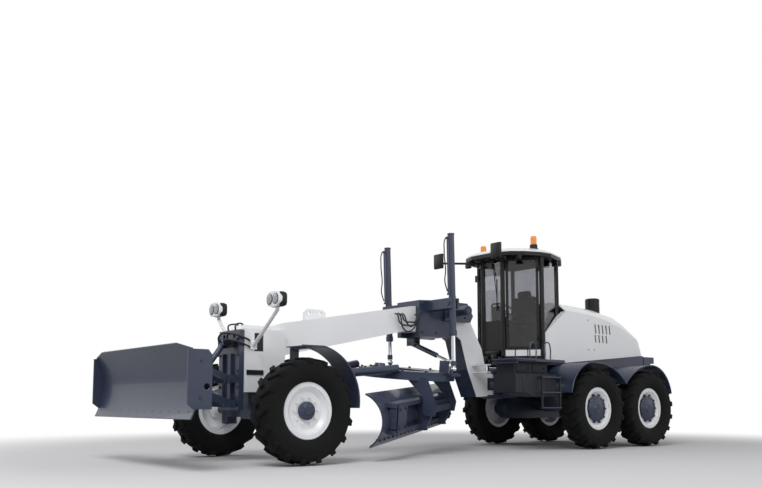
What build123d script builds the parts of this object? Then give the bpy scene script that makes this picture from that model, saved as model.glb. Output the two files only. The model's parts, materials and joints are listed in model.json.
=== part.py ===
from build123d import *

import os
from math import cos, radians, sin

# Motor grader with a front dozer blade. Millimetres, +Z up, the front faces -Y and the machine's
# left side is +X. The origin is on the ground below the middle of the whole machine.

# ---- driving dimensions ----------------------------------------------------------------------
overall_width = 2500
wheelbase = 6200              # front axle to the middle of the tandem
tandem_spacing = 1400
front_axle_y = -3220
pin_clearance = 0.5           # radial gap round every pin
seat_gap = 0.3                # gap between a piece and what carries it
running_gap = 6               # gap beside parts that turn

tyre_radius = 635
tyre_width = 360
rim_flange_radius = 335
rim_width = 230
bead_radius = 305
hub_front_radius = 107
hub_rear_radius = 205

kingpin_x = 800
steering_arm = 200

hinge_y = 4220                # articulation hinge behind the front axle
hinge_pin_radius = 45

beam_half_width = 170
head_half_width = 250
head_bottom_z = 860

saddle_y = 2780               # lift cylinder trunnions
lift_x = 720
trunnion_z = 2150
barrel_radius = 48
lift_rod_radius = 30
lift_top_z = 3170
lift_barrel_end_z = 1680

ball_y = 420                  # drawbar ball
ball_z = 1050
ball_radius = 60
circle_y = 2500
circle_radius = 700
drawbar_plate_z = 1180        # underside of the drawbar's plate, level
plate_thickness = 40
bank_angle = 6                # the left side of the drawbar hangs lower

blade_turn = 57               # the left end of the moldboard stands forward by this angle
blade_length = 3600
blade_height = 660
blade_hollow = 151            # its face's middle behind the cutting edge
blade_lean = 107              # its top ahead of the cutting edge
blade_thickness = 20
blade_shift = 200             # side shift towards the left end
blade_edge_z = 305            # cutting edge, level
blade_ahead = -197            # cutting edge ahead of the circle's middle
tip_pin_back = 330
tip_pin_up = 400

dozer_arm = 780
dozer_rise = 20               # the raised arms slope up by this angle
dozer_pin_y = -490
dozer_low_pin_z = 720
dozer_pin_spread = 300
dozer_pin_x = 170
dozer_half_width = 1375
dozer_edge_z = 553
dozer_top_z = 1370

cab_floor_z = 1470
cab_glass_z = 1570
cab_top_z = 3060
a_pillar_x = 215
a_pillar_y = 4385
b_pillar_x = 690
b_pillar_y = 4780
c_pillar_x = 480
c_pillar_y = 5400
pillar_radius = 38

hood_front_y = 5440
hood_rear_y = 7720
hood_rear_bottom_z = 1575
deck_z = 1380


# ---- small helpers ---------------------------------------------------------------------------
def back(distance):
    """Place along the machine of what lies this far behind the front axle."""
    return front_axle_y + distance


def save(piece, name, place=None):
    """Label a finished piece and write it as a STEP file."""
    body = piece.part if place is None else piece.part.moved(place)
    body.label = name
    export_step(body, f"parts/{name}.step")


def block(x0, x1, y0, y1, z0, z1, mode=Mode.ADD):
    """Box between two corners, its y counted from the front axle."""
    with Locations(((x0 + x1) / 2, back((y0 + y1) / 2), (z0 + z1) / 2)):
        Box(abs(x1 - x0), abs(y1 - y0), abs(z1 - z0), mode=mode)


def bar(start, end, radius, mode=Mode.ADD):
    """Round bar between two points, their y counted from the front axle."""
    first = Vector(start[0], back(start[1]), start[2])
    last = Vector(end[0], back(end[1]), end[2])
    with Locations(Plane(origin=first, z_dir=last - first)):
        Cylinder(radius, (last - first).length, align=(Align.CENTER, Align.CENTER, Align.MIN), mode=mode)


def side_plate(points, x0, x1, mode=Mode.ADD):
    """Plate with a side outline of (y, z) points, from x0 to x1."""
    with BuildSketch(Plane.YZ.offset(min(x0, x1))) as outline:
        with BuildLine():
            Polyline(*[(back(y), z) for y, z in points], close=True)
        make_face()
    extrude(outline.sketch, amount=abs(x1 - x0), mode=mode)


def flat_plate(points, z0, z1, mode=Mode.ADD):
    """Plate with a plan outline of (x, y) points, from z0 to z1."""
    with BuildSketch(Plane.XY.offset(z0)) as outline:
        with BuildLine():
            Polyline(*[(x, back(y)) for x, y in points], close=True)
        make_face()
    extrude(outline.sketch, amount=z1 - z0, mode=mode)


def front_plate(points, y0, y1, mode=Mode.ADD):
    """Plate with a front outline of (x, z) points, from y0 to y1 behind the front axle."""
    with BuildSketch(Plane.XZ.offset(-back(y1))) as outline:
        with BuildLine():
            Polyline(*points, close=True)
        make_face()
    extrude(outline.sketch, amount=y1 - y0, mode=mode)


def both_sides(points):
    """Plan outline that is given for the left side only, front to rear, closed on the right."""
    return list(points) + [(-x, y) for x, y in reversed(points)]


os.makedirs("parts", exist_ok=True)

# ---- wheels ----------------------------------------------------------------------------------
wheel_x = (overall_width - tyre_width) / 2
tandem_front = wheelbase - tandem_spacing / 2
tandem_rear = wheelbase + tandem_spacing / 2
rim_half = rim_width / 2
flange_thickness = 15


tread_radius = tyre_radius - 40
tyre_facets = 32
bead = rim_half - flange_thickness - seat_gap
# (across, radius) of the carcass, from one shoulder to the other, and of one lug
carcass = [(-tyre_width / 2, 480), (30 - tyre_width / 2, tread_radius), (tyre_width / 2 - 30, tread_radius),
           (tyre_width / 2, 480)]
lug = [(6, tread_radius - 15), (6, tyre_radius - 5), (118, tyre_radius - 6), (158, tyre_radius - 18),
       (tyre_width / 2 - 1, tyre_radius - 90)]
lug_width = 62
lug_slant = 33
lug_count = 16                # on each half of the tread


def across_axle(distance):
    """Sketch plane square to a wheel's axle, this far outboard of its middle."""
    return Plane.YZ.offset(distance)


def on_axle(place):
    """Sketch plane through a wheel's axle: its first column points outboard, its second is the radius."""
    return Plane(origin=place, x_dir=(1, 0, 0), z_dir=(0, -1, 0))


wheel_middle = Axis((0, 0, 0), (1, 0, 0))
with BuildPart() as tyre:
    for across, radius in carcass:
        with BuildSketch(across_axle(across)):
            RegularPolygon(radius, tyre_facets)
    loft(ruled=True)
    for side in (-1, 1):
        with BuildPart(mode=Mode.PRIVATE) as recess:
            for across, radius in ((bead, rim_flange_radius + 5), (tyre_width / 2 + 1, 480)):
                with BuildSketch(across_axle(side * across)):
                    RegularPolygon(radius, tyre_facets)
            loft(ruled=True)
        add(recess.part, mode=Mode.SUBTRACT)
    with BuildSketch(across_axle(-tyre_width)):
        RegularPolygon(bead_radius + seat_gap, tyre_facets, major_radius=False)
    extrude(amount=2 * tyre_width, mode=Mode.SUBTRACT)
    with BuildPart(mode=Mode.PRIVATE) as one_lug:
        with BuildSketch(on_axle((0, 0, 0))) as lug_side:
            with BuildLine():
                Polyline(*lug, close=True)
            make_face()
        extrude(lug_side.sketch, amount=lug_width / 2, both=True)
    slanted = Rot(0, 0, lug_slant) * one_lug.part
    for half in (0, 1):
        turned = slanted if half == 0 else Rot(0, 0, 180) * slanted
        for count in range(lug_count):
            add(Rot((count + half / 2) * 360 / lug_count, 0, 0) * turned)

inner = bead_radius - 20


def make_rim(hub_radius):
    """Rim with its disc and hub, its outboard side towards +X."""
    with BuildPart() as rim:
        with BuildSketch(on_axle((0, 0, 0))):
            with BuildLine():
                Polyline((-rim_half, inner), (rim_half, inner), (rim_half, rim_flange_radius),
                         (rim_half - flange_thickness, rim_flange_radius),
                         (rim_half - flange_thickness, bead_radius),
                         (flange_thickness - rim_half, bead_radius),
                         (flange_thickness - rim_half, rim_flange_radius),
                         (-rim_half, rim_flange_radius), close=True)
            make_face()
            with BuildLine():
                Polyline((40, 0), (58, 0), (58, inner - 60), (98, inner - 15), (98, inner + 5),
                         (80, inner + 5), (40, inner - 45), close=True)
            make_face()
        revolve(axis=wheel_middle)
        with BuildSketch(on_axle((0, 0, 0))):
            with BuildLine():
                Polyline((-rim_half, 0), (-rim_half, hub_radius * 0.6), (0, hub_radius * 0.6), (0, hub_radius),
                         (88, hub_radius), (104, hub_radius - 16), (104, 0), close=True)
            make_face()
        revolve(axis=wheel_middle)
    return rim


front_rim = make_rim(hub_front_radius)
rear_rim = make_rim(hub_rear_radius)
# place, side, distance behind the front axle, rim
wheels = [
    ("front_left", 1, 0, front_rim),
    ("front_right", -1, 0, front_rim),
    ("middle_left", 1, tandem_front, rear_rim),
    ("middle_right", -1, tandem_front, rear_rim),
    ("rear_left", 1, tandem_rear, rear_rim),
    ("rear_right", -1, tandem_rear, rear_rim),
]
for place, side, y, rim in wheels:
    axle_end = Location((side * wheel_x, back(y), tyre_radius)) * Rot(0, 0, 90 - 90 * side)
    save(tyre, f"tyre_{place}", axle_end)
    save(rim, f"rim_{place}", axle_end)

hub_face_x = wheel_x - rim_half          # inboard face of every wheel's hub
tyre_inner_x = wheel_x - tyre_width / 2

# ---- front axle, knuckles and steering -------------------------------------------------------
fork_top = tyre_radius + 185
fork_bottom = tyre_radius - 185
fork_plate = 35
tie_rod_z = tyre_radius - 60
tie_rod_radius = 22
with BuildPart() as front_axle:
    block(-640, 640, -90, 90, tyre_radius - 90, tyre_radius + 90)
    block(-130, 130, -160, 160, tyre_radius - 110, head_bottom_z - seat_gap)
    for side in (-1, 1):
        block(side * 640, side * 700, -70, 70, fork_bottom, fork_top)
        for z in (fork_bottom, fork_top - fork_plate):
            block(side * 640, side * kingpin_x, -58, 58, z, z + fork_plate)
            bar((side * kingpin_x, 0, z), (side * kingpin_x, 0, z + fork_plate), 58)
        bar((side * kingpin_x, 0, fork_bottom), (side * kingpin_x, 0, fork_top), 30 + pin_clearance,
            Mode.SUBTRACT)
    block(-150, 150, 90, 170, tie_rod_z - 40, tie_rod_z + 40)
    bar((-260, steering_arm, tie_rod_z), (260, steering_arm, tie_rod_z), 48)
    bar((-260, steering_arm, tie_rod_z), (260, steering_arm, tie_rod_z), tie_rod_radius + pin_clearance,
        Mode.SUBTRACT)
save(front_axle, "front_axle")

with BuildPart() as tie_rod:
    bar((-kingpin_x, steering_arm, tie_rod_z), (kingpin_x, steering_arm, tie_rod_z), tie_rod_radius)
    for side in (-1, 1):
        bar((side * kingpin_x, steering_arm, tie_rod_z - 24), (side * kingpin_x, steering_arm, tie_rod_z + 24), 40)
save(tie_rod, "tie_rod")

fender_inner_x = tyre_inner_x + 10
fender_outer_x = overall_width / 2 - 8
fender_front = (-130, 1395)
fender_top = (180, 1395)
fender_rear = (705, 664)
fender_sheet = 12
for place, side in (("left", 1), ("right", -1)):
    with BuildPart() as knuckle:
        bar((side * kingpin_x, 0, fork_bottom + fork_plate + 2), (side * kingpin_x, 0, fork_top - fork_plate - 2), 62)
        bar((side * kingpin_x, 0, fork_bottom - 8), (side * kingpin_x, 0, fork_top + 8), 30)
        bar((side * kingpin_x, 0, tyre_radius), (side * (hub_face_x - seat_gap), 0, tyre_radius), 55)
        block(side * (kingpin_x - 35), side * (kingpin_x + 35), 40, steering_arm + 35,
              tie_rod_z + 27, tie_rod_z + 67)
        block(side * (kingpin_x + 40), side * (tyre_inner_x - 10), -60, 60, tyre_radius + 30, tyre_radius + 90)
        block(side * (tyre_inner_x - 26), side * (tyre_inner_x - 10), -60, 60, tyre_radius + 30, fender_top[1] - 8)
        block(side * (tyre_inner_x - 26), side * (fender_outer_x - 60), -40, 60, fender_top[1] - 30,
              fender_top[1] - fender_sheet / 2)
        with BuildSketch(Plane.YZ.offset(min(side * fender_inner_x, side * fender_outer_x))):
            with BuildLine() as edge:
                Line((back(fender_front[0]), fender_front[1]), (back(fender_top[0]), fender_top[1]))
                ThreePointArc((back(fender_top[0]), fender_top[1]), (back(585), 1135),
                              (back(fender_rear[0]), fender_rear[1]))
                offset(amount=fender_sheet, side=Side.RIGHT)
            make_face()
        extrude(amount=fender_outer_x - fender_inner_x)
    save(knuckle, f"front_fender_{place}")

# ---- front frame: head, arched beam, legs and hinge tongue -----------------------------------
steer_eye = (420, 3775)       # pins of the hinge's steering cylinders, front and rear
steer_root = (480, 4900)
steer_z = 1250
steer_pin_radius = 22
cup_gap = 22
lug_half_width = 15
lug_bore_radius = 25
lug_bores = ((790, 1930), (970, 1935))
lamp_bottom_z = 1885
tongues = (850, 1120)         # undersides of the two hinge tongues
tongue_thickness = 70
beam_outline = [              # (y, z), clockwise from the head's top front corner
    (-340, 1650), (-300, 1700), (120, 1700), (274, 1757), (2489, 2141), (3350, 2200),
    (3690, 1963), (3930, 1567), (3990, 1333), (4050, 1215), (4050, 830), (3805, 815),
    (3617, 1230), (3473, 1687), (3300, 1790), (2352, 1766), (540, 1391), (260, 1330),
]
with BuildPart() as front_beam:
    side_plate(beam_outline, -beam_half_width, beam_half_width)
    block(-head_half_width, head_half_width, -340, 260, head_bottom_z, 1650)
    for z in tongues:
        block(-105, 105, 4000, hinge_y, z, z + tongue_thickness)
        bar((0, hinge_y, z), (0, hinge_y, z + tongue_thickness), 105)
        bar((0, hinge_y, z), (0, hinge_y, z + tongue_thickness), hinge_pin_radius + pin_clearance,
            Mode.SUBTRACT)
    # brackets for the steering cylinders of the hinge
    for side in (-1, 1):
        x, y = steer_eye
        for z in (steer_z - 65, steer_z + 45):
            block(side * 160, side * (x + 45), y - 50, y + 50, z, z + 20)
    # lifting lug
    side_plate([(700, 1820), (1050, 1880), (1050, 1950), (1010, 1990), (750, 1990), (700, 1940)],
               -lug_half_width, lug_half_width)
    for y, z in lug_bores:
        bar((-lug_half_width, y, z), (lug_half_width, y, z), lug_bore_radius, Mode.SUBTRACT)
    # cup of the drawbar ball
    bar((0, 255, ball_z), (0, ball_y - cup_gap, ball_z), 85)
    with Locations((0, back(ball_y), ball_z)):
        Sphere(ball_radius + pin_clearance, mode=Mode.SUBTRACT)
    # recess in each side of the head
    for side in (-1, 1):
        block(side * (head_half_width - 14), side * head_half_width, -190, -60, 1370, 1600, Mode.SUBTRACT)
save(front_beam, "front_beam")

with BuildPart() as headlamps:
    for side in (-1, 1):
        # arm from a plate on the head
        arm_foot = head_half_width + seat_gap
        block(side * arm_foot, side * (arm_foot + 20), -255, -165, 1390, 1480)
        bar((side * (arm_foot + 18), -210, 1440), (side * 750, -170, 1850), 24)
        bar((side * 750, -170, 1840), (side * 750, -170, lamp_bottom_z + 5), 24)
        with BuildPart(mode=Mode.PRIVATE) as lamp:
            block(side * 615, side * 885, -240, -100, lamp_bottom_z, lamp_bottom_z + 180)
            fillet(lamp.edges().filter_by(Axis.Y), 75)
            chamfer(lamp.edges().group_by(Axis.Y)[-1], 45)
        add(lamp.part)
save(headlamps, "headlamps")

# ---- saddle that carries the lift cylinders --------------------------------------------------
fork_gap = barrel_radius + running_gap


def beam_top(y):
    """Height of the beam's top between its kink and the legs."""
    (y0, z0), (y1, z1) = beam_outline[4:6]
    return z0 + (z1 - z0) * (y - y0) / (y1 - y0)


with BuildPart() as saddle:
    side_plate([(2560, beam_top(2560) + seat_gap), (3250, beam_top(3250) + seat_gap), (3250, 2270), (2560, 2230)],
               -250, 250)
    for side in (-1, 1):
        side_plate([(2560, 1700), (3250, 1700), (3250, 2270), (2560, 2230)],
                   side * (beam_half_width + seat_gap), side * 250)
        # casting round the top of the legs, with its cross shaft
        side_plate([(3030, 1950), (3560, 1950), (3620, 2050), (3500, 2240), (3030, 2240)],
                   side * (beam_half_width + seat_gap), side * 300)
        bar((side * 250, 3180, 2080), (side * 640, 3180, 2080), 75)
        for face in (-1, 1):
            block(side * 240, side * (lift_x + 50), saddle_y + face * fork_gap,
                  saddle_y + face * (fork_gap + 32), trunnion_z - 75, trunnion_z + 75)
        bar((side * lift_x, saddle_y - 120, trunnion_z), (side * lift_x, saddle_y + 120, trunnion_z),
            22 + pin_clearance, Mode.SUBTRACT)
    block(-250, 250, 2700, 3100, 1700, 1765)
    # ear of the centre-shift cylinder
    for face in (-1, 1):
        block(-420, -250, 2950 + face * 40, 2950 + face * 62, 1600, 1765)
    bar((-370, 2880, 1640), (-370, 3020, 1640), 20)
save(saddle, "saddle")

# ---- drawbar, circle and moldboard, modelled level and then banked about the ball -------------
ball = Vector(0, back(ball_y), ball_z)
banked = Location(ball) * Location((0, 0, 0), (0, 1, 0), bank_angle) * Location(-ball)
plate_top = drawbar_plate_z + plate_thickness
ear_z = plate_top + 60
lift_ball_radius = 42
with BuildPart() as drawbar_ball:
    with Locations(ball):
        Sphere(ball_radius)
save(drawbar_ball, "drawbar_ball")

with BuildPart() as drawbar:
    bar((0, ball_y + cup_gap, ball_z), (0, ball_y + 180, ball_z), 78)
    with Locations(ball):
        Sphere(ball_radius + pin_clearance, mode=Mode.SUBTRACT)
    for side in (-1, 1):
        bar((side * 20, ball_y + 150, ball_z + 10), (side * 480, circle_y - 560, plate_top + 30), 58)
    with Locations((0, back(circle_y), drawbar_plate_z + plate_thickness / 2)):
        Cylinder(circle_radius, plate_thickness)
        Cylinder(circle_radius - 220, plate_thickness, mode=Mode.SUBTRACT)
    block(-lift_x - 50, lift_x + 50, saddle_y - 90, saddle_y + 90, drawbar_plate_z, plate_top)
    # seats under the lift cylinders' ball ends
    for side in (-1, 1):
        bar((side * lift_x, saddle_y, plate_top), (side * lift_x, saddle_y, ear_z - lift_ball_radius - 8), 50)
    # ear of the centre-shift cylinder's rod
    block(400, 520, 2790, 2872, drawbar_plate_z, 1385)
save(drawbar, "drawbar", banked)

along = Vector(-cos(radians(blade_turn)), sin(radians(blade_turn)), 0)      # towards the right end
ahead = Vector(-sin(radians(blade_turn)), -cos(radians(blade_turn)), 0)     # in front of the blade
circle_middle = Vector(0, back(circle_y), 0)
ring_top = drawbar_plate_z - 0.5
ring_bottom = ring_top - 80


def across_blade(distance):
    """Plane square to the blade: x rearwards from the cutting edge's line, y up; distance is
    counted from the circle's middle towards the right end, and the plane faces the left end."""
    origin = circle_middle + ahead * blade_ahead + along * distance
    return Plane(origin=(origin.X, origin.Y, 0), x_dir=(-ahead.X, -ahead.Y, 0),
                 z_dir=(-along.X, -along.Y, 0))


def cross_piece(points, start, end, mode=Mode.ADD):
    """Bar along the blade with a section of (back, up) points, between two distances."""
    with BuildSketch(across_blade(max(start, end))) as section:
        with BuildLine():
            Polyline(*points, close=True)
        make_face()
    extrude(section.sketch, amount=abs(end - start), mode=mode)


arm_inner = 560               # the circle's arms stand this far from its middle
arm_thickness = 50
tip_pin_z = blade_edge_z + tip_pin_up
with BuildPart() as circle:
    with Locations((0, back(circle_y), (ring_top + ring_bottom) / 2)):
        Cylinder(circle_radius + 20, ring_top - ring_bottom)
        Cylinder(circle_radius - 110, ring_top - ring_bottom, mode=Mode.SUBTRACT)
    for side in (-1, 1):
        cross_piece([(-20, ring_bottom + 40), (290, ring_bottom + 40), (450, tip_pin_z + 60), (430, tip_pin_z - 80),
                     (290, tip_pin_z - 80), (252, tip_pin_z - 20), (252, blade_edge_z + 570)],
                    side * arm_inner, side * (arm_inner + arm_thickness))
    with Locations(across_blade(arm_inner + arm_thickness)):
        with Locations((tip_pin_back, tip_pin_z, 0)):
            Cylinder(28 + pin_clearance, 2 * (arm_inner + arm_thickness), mode=Mode.SUBTRACT,
                     align=(Align.CENTER, Align.CENTER, Align.MIN))
save(circle, "circle", banked)

upper_rail = (blade_edge_z + 490, blade_edge_z + 545)
lower_rail = (blade_edge_z + 150, blade_edge_z + 205)
rail_back = 235
rail_short = 450              # the rails end this far before the right end, to pass the legs
shoe_gap = 0.5
with BuildPart() as blade_bracket:
    for side in (-1, 1):
        cross_piece([(180, blade_edge_z + 110), (300, blade_edge_z + 110), (385, tip_pin_z - 60),
                     (385, tip_pin_z + 60), (290, blade_edge_z + 590), (180, blade_edge_z + 590)],
                    side * (arm_inner - 8), side * (arm_inner - 58))
    for low, high in (upper_rail, lower_rail):
        cross_piece([(100, low - shoe_gap), (rail_back + shoe_gap, low - shoe_gap),
                     (rail_back + shoe_gap, high + shoe_gap), (100, high + shoe_gap)],
                    -arm_inner, arm_inner, Mode.SUBTRACT)
    cross_piece([(320, tip_pin_z - 45), (385, tip_pin_z - 45), (385, tip_pin_z + 45), (320, tip_pin_z + 45)],
                -(arm_inner - 30), arm_inner - 30)
    for side in (-1, 1):
        with Locations(across_blade(side * (arm_inner - 30) + (arm_thickness + 40 if side > 0 else 0))):
            with Locations((tip_pin_back, tip_pin_z, 0)):
                Cylinder(28, arm_thickness + 40, align=(Align.CENTER, Align.CENTER, Align.MIN))
save(blade_bracket, "blade_bracket", banked)

right_end = blade_length / 2 - blade_shift
left_end = -blade_length / 2 - blade_shift
with BuildPart() as moldboard:
    with BuildSketch(across_blade(right_end)):
        with BuildLine():
            front_face = ThreePointArc((0, blade_edge_z), (blade_hollow, blade_edge_z + blade_height / 2),
                                       (-blade_lean, blade_edge_z + blade_height))
            offset(front_face, amount=blade_thickness, side=Side.LEFT)
        make_face()
    extrude(amount=blade_length)
    cross_piece([(85, upper_rail[0]), (rail_back, upper_rail[0]), (rail_back, upper_rail[1]), (85, upper_rail[1])],
                right_end - rail_short, left_end + 250)
    cross_piece([(126, lower_rail[0]), (rail_back, lower_rail[0]), (rail_back, lower_rail[1]), (126, lower_rail[1])],
                right_end - rail_short, left_end + 250)
save(moldboard, "moldboard", banked)

# ---- lift cylinders and centre shift ---------------------------------------------------------
ear_axis = Vector(cos(radians(bank_angle)), 0, -sin(radians(bank_angle)))
for place, side in (("left", 1), ("right", -1)):
    trunnion = Vector(side * lift_x, back(saddle_y), trunnion_z)
    foot = (banked * Location(Vector(side * lift_x, back(saddle_y), ear_z))).position
    down = (foot - trunnion).normalized()


    def on_lift(distance, sideways=0):
        """Point on the cylinder's line below its trunnion, or beside it along the ear's pin."""
        point = trunnion + down * distance + ear_axis * sideways
        return (point.X, saddle_y, point.Z)


    stroke = (foot - trunnion).length
    with BuildPart() as barrel:
        bar(on_lift(trunnion_z - lift_barrel_end_z), on_lift(trunnion_z - lift_top_z), barrel_radius)
        bar((side * lift_x, saddle_y - 86, trunnion_z), (side * lift_x, saddle_y + 86, trunnion_z), 22)
        # oil pipe along the front of the barrel, with its two clamps
        top, low = on_lift(trunnion_z - lift_top_z + 70), on_lift(-130)
        pipe_y = saddle_y - barrel_radius - 26
        bar((top[0], pipe_y, top[2]), (low[0], pipe_y, low[2]), 11)
        for x, y, z in (top, low):
            block(x - 16, x + 16, pipe_y - 14, saddle_y - barrel_radius + 10, z - 14, z + 14)
        bar(on_lift(trunnion_z - lift_barrel_end_z), on_lift(trunnion_z - lift_top_z + 60),
            lift_rod_radius + pin_clearance, Mode.SUBTRACT)
    save(barrel, f"lift_barrel_{place}")
    with BuildPart() as rod:
        bar(on_lift(stroke - 35), on_lift(-300), lift_rod_radius)
        with Locations(foot):
            Sphere(lift_ball_radius)
    save(rod, f"lift_rod_{place}")

shift_root = (-370, 2950, 1640)
shift_eye = (470, 2950, 1330)
shift_run = Vector(*shift_eye) - Vector(*shift_root)


def on_shift(distance):
    """Point on the centre-shift cylinder's line, this far from its root."""
    point = Vector(*shift_root) + shift_run.normalized() * distance
    return (point.X, point.Y, point.Z)


with BuildPart() as shift_barrel:
    bar(on_shift(30), on_shift(600), 38)
    bar((shift_root[0], shift_root[1] - 32, shift_root[2]), (shift_root[0], shift_root[1] + 32, shift_root[2]), 40)
    bar((shift_root[0], shift_root[1] - 40, shift_root[2]), (shift_root[0], shift_root[1] + 40, shift_root[2]),
        20 + pin_clearance, Mode.SUBTRACT)
    bar(on_shift(110), on_shift(610), 20 + pin_clearance, Mode.SUBTRACT)
save(shift_barrel, "shift_barrel")
with BuildPart() as shift_rod:
    bar(on_shift(345), on_shift(shift_run.length - 25), 20)
    bar((shift_eye[0], shift_eye[1] - 28, shift_eye[2]), (shift_eye[0], shift_eye[1] + 28, shift_eye[2]), 36)
save(shift_rod, "shift_rod")

# ---- front hitch plate and dozer blade -------------------------------------------------------
low_pin = (dozer_pin_y, dozer_low_pin_z)
high_pin = (dozer_pin_y, dozer_low_pin_z + dozer_pin_spread)
reach = (-dozer_arm * cos(radians(dozer_rise)), dozer_arm * sin(radians(dozer_rise)))
dozer_ram_pin = (-480, 1480)
with BuildPart() as front_hitch:
    block(-260, 260, -410, -340, 640, 1630)
    for y, z in (low_pin, high_pin):
        for side in (-1, 1):
            for face in (-1, 1):
                x = side * dozer_pin_x
                block(x + face * 26, x + face * 50, y - 45, -400, z - 45, z + 45)
            bar((side * (dozer_pin_x - 55), y, z), (side * (dozer_pin_x + 55), y, z), 24)
    for face in (-1, 1):
        block(face * 36, face * 58, dozer_ram_pin[0] - 40, -400, dozer_ram_pin[1] - 40, dozer_ram_pin[1] + 40)
    bar((-62, *dozer_ram_pin), (62, *dozer_ram_pin), 20)
    for side in (-1, 1):
        bar((side * 130, -420, 1555), (side * 130, -330, 1555), 30, Mode.SUBTRACT)
save(front_hitch, "front_hitch")


def link_pair(start, end, height, eye_radius, pin_radius):
    """Two flat links with an eye at each end, one on each side of the machine."""
    slope = Vector(end[0] - start[0], end[1] - start[1], 0).normalized()
    up = Vector(-slope.Y, slope.X, 0) * (height / 2)
    corners = [(start[0] + up.X, start[1] + up.Y), (end[0] + up.X, end[1] + up.Y),
               (end[0] - up.X, end[1] - up.Y), (start[0] - up.X, start[1] - up.Y)]
    for side in (-1, 1):
        x = side * dozer_pin_x
        side_plate(corners, x - 22, x + 22)
        for y, z in (start, end):
            bar((x - 22, y, z), (x + 22, y, z), eye_radius)
            bar((x - 30, y, z), (x + 30, y, z), pin_radius + pin_clearance, Mode.SUBTRACT)


low_front = (low_pin[0] + reach[0], low_pin[1] + reach[1])
high_front = (high_pin[0] + reach[0], high_pin[1] + reach[1])
ram_eye = (low_pin[0] + reach[0] * 0.55, low_pin[1] + reach[1] * 0.55 + 40)
with BuildPart() as dozer_arms:
    link_pair(low_pin, low_front, 90, 46, 24)
    bar((-dozer_pin_x, ram_eye[0], ram_eye[1] - 40), (dozer_pin_x, ram_eye[0], ram_eye[1] - 40), 42)
save(dozer_arms, "dozer_arms")
with BuildPart() as dozer_links:
    link_pair(high_pin, high_front, 70, 42, 24)
save(dozer_links, "dozer_links")

dozer_back_y = -1480
with BuildPart() as dozer_blade:
    with BuildSketch(Plane.YZ.offset(-dozer_half_width)):
        with BuildLine():
            face = ThreePointArc((back(-1570), dozer_edge_z), (back(dozer_back_y), (dozer_edge_z + dozer_top_z) / 2),
                                 (back(-1610), dozer_top_z))
            offset(face, amount=16, side=Side.LEFT)
        make_face()
    extrude(amount=2 * dozer_half_width)
    for side in (-1, 1):
        # sloped top corner and end plate with its hole
        front_plate([(side * 1046, dozer_top_z + 2), (side * (dozer_half_width + 1), 1300),
                     (side * (dozer_half_width + 1), 1450), (side * 1046, 1450)], -1700, -1400, Mode.SUBTRACT)
        side_plate([(-1620, 720), (-1540, 660), (-1340, 660), (-1340, 1230), (-1390, 1290), (-1620, 1290)],
                   side * (dozer_half_width - 20), side * dozer_half_width)
        bar((side * (dozer_half_width - 30), -1400, 900), (side * (dozer_half_width + 10), -1400, 900), 35,
            Mode.SUBTRACT)
    for y, z in ((-1480, 720), (-1520, 1180)):
        side_plate([(y, z), (-1370, z), (-1370, z + 110), (y, z + 110)], -1200, 1200)
    for side in (-1, 1):
        for face_side in (-1, 1):
            x = side * dozer_pin_x
            side_plate([(-1400, 720), (low_front[0] + 50, low_front[1] - 60), (high_front[0] + 50, high_front[1] + 50),
                        (-1400, 1290)], x + face_side * 26, x + face_side * 50)
        for y, z in (low_front, high_front):
            bar((side * (dozer_pin_x - 55), y, z), (side * (dozer_pin_x + 55), y, z), 24)
save(dozer_blade, "dozer_blade")

ram_run = Vector(0, ram_eye[0] - dozer_ram_pin[0], ram_eye[1] - dozer_ram_pin[1])


def on_ram(distance):
    """Point on the dozer ram's line, this far below its root."""
    step = ram_run.normalized() * distance
    return (0, dozer_ram_pin[0] + step.Y, dozer_ram_pin[1] + step.Z)


with BuildPart() as dozer_barrel:
    bar(on_ram(30), on_ram(460), 36)
    bar((-30, *dozer_ram_pin), (30, *dozer_ram_pin), 38)
    bar((-40, *dozer_ram_pin), (40, *dozer_ram_pin), 20 + pin_clearance, Mode.SUBTRACT)
    bar(on_ram(80), on_ram(470), 20 + pin_clearance, Mode.SUBTRACT)
save(dozer_barrel, "dozer_barrel")
with BuildPart() as dozer_rod:
    bar(on_ram(115), on_ram(ram_run.length - 46), 20)
save(dozer_rod, "dozer_rod")

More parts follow.
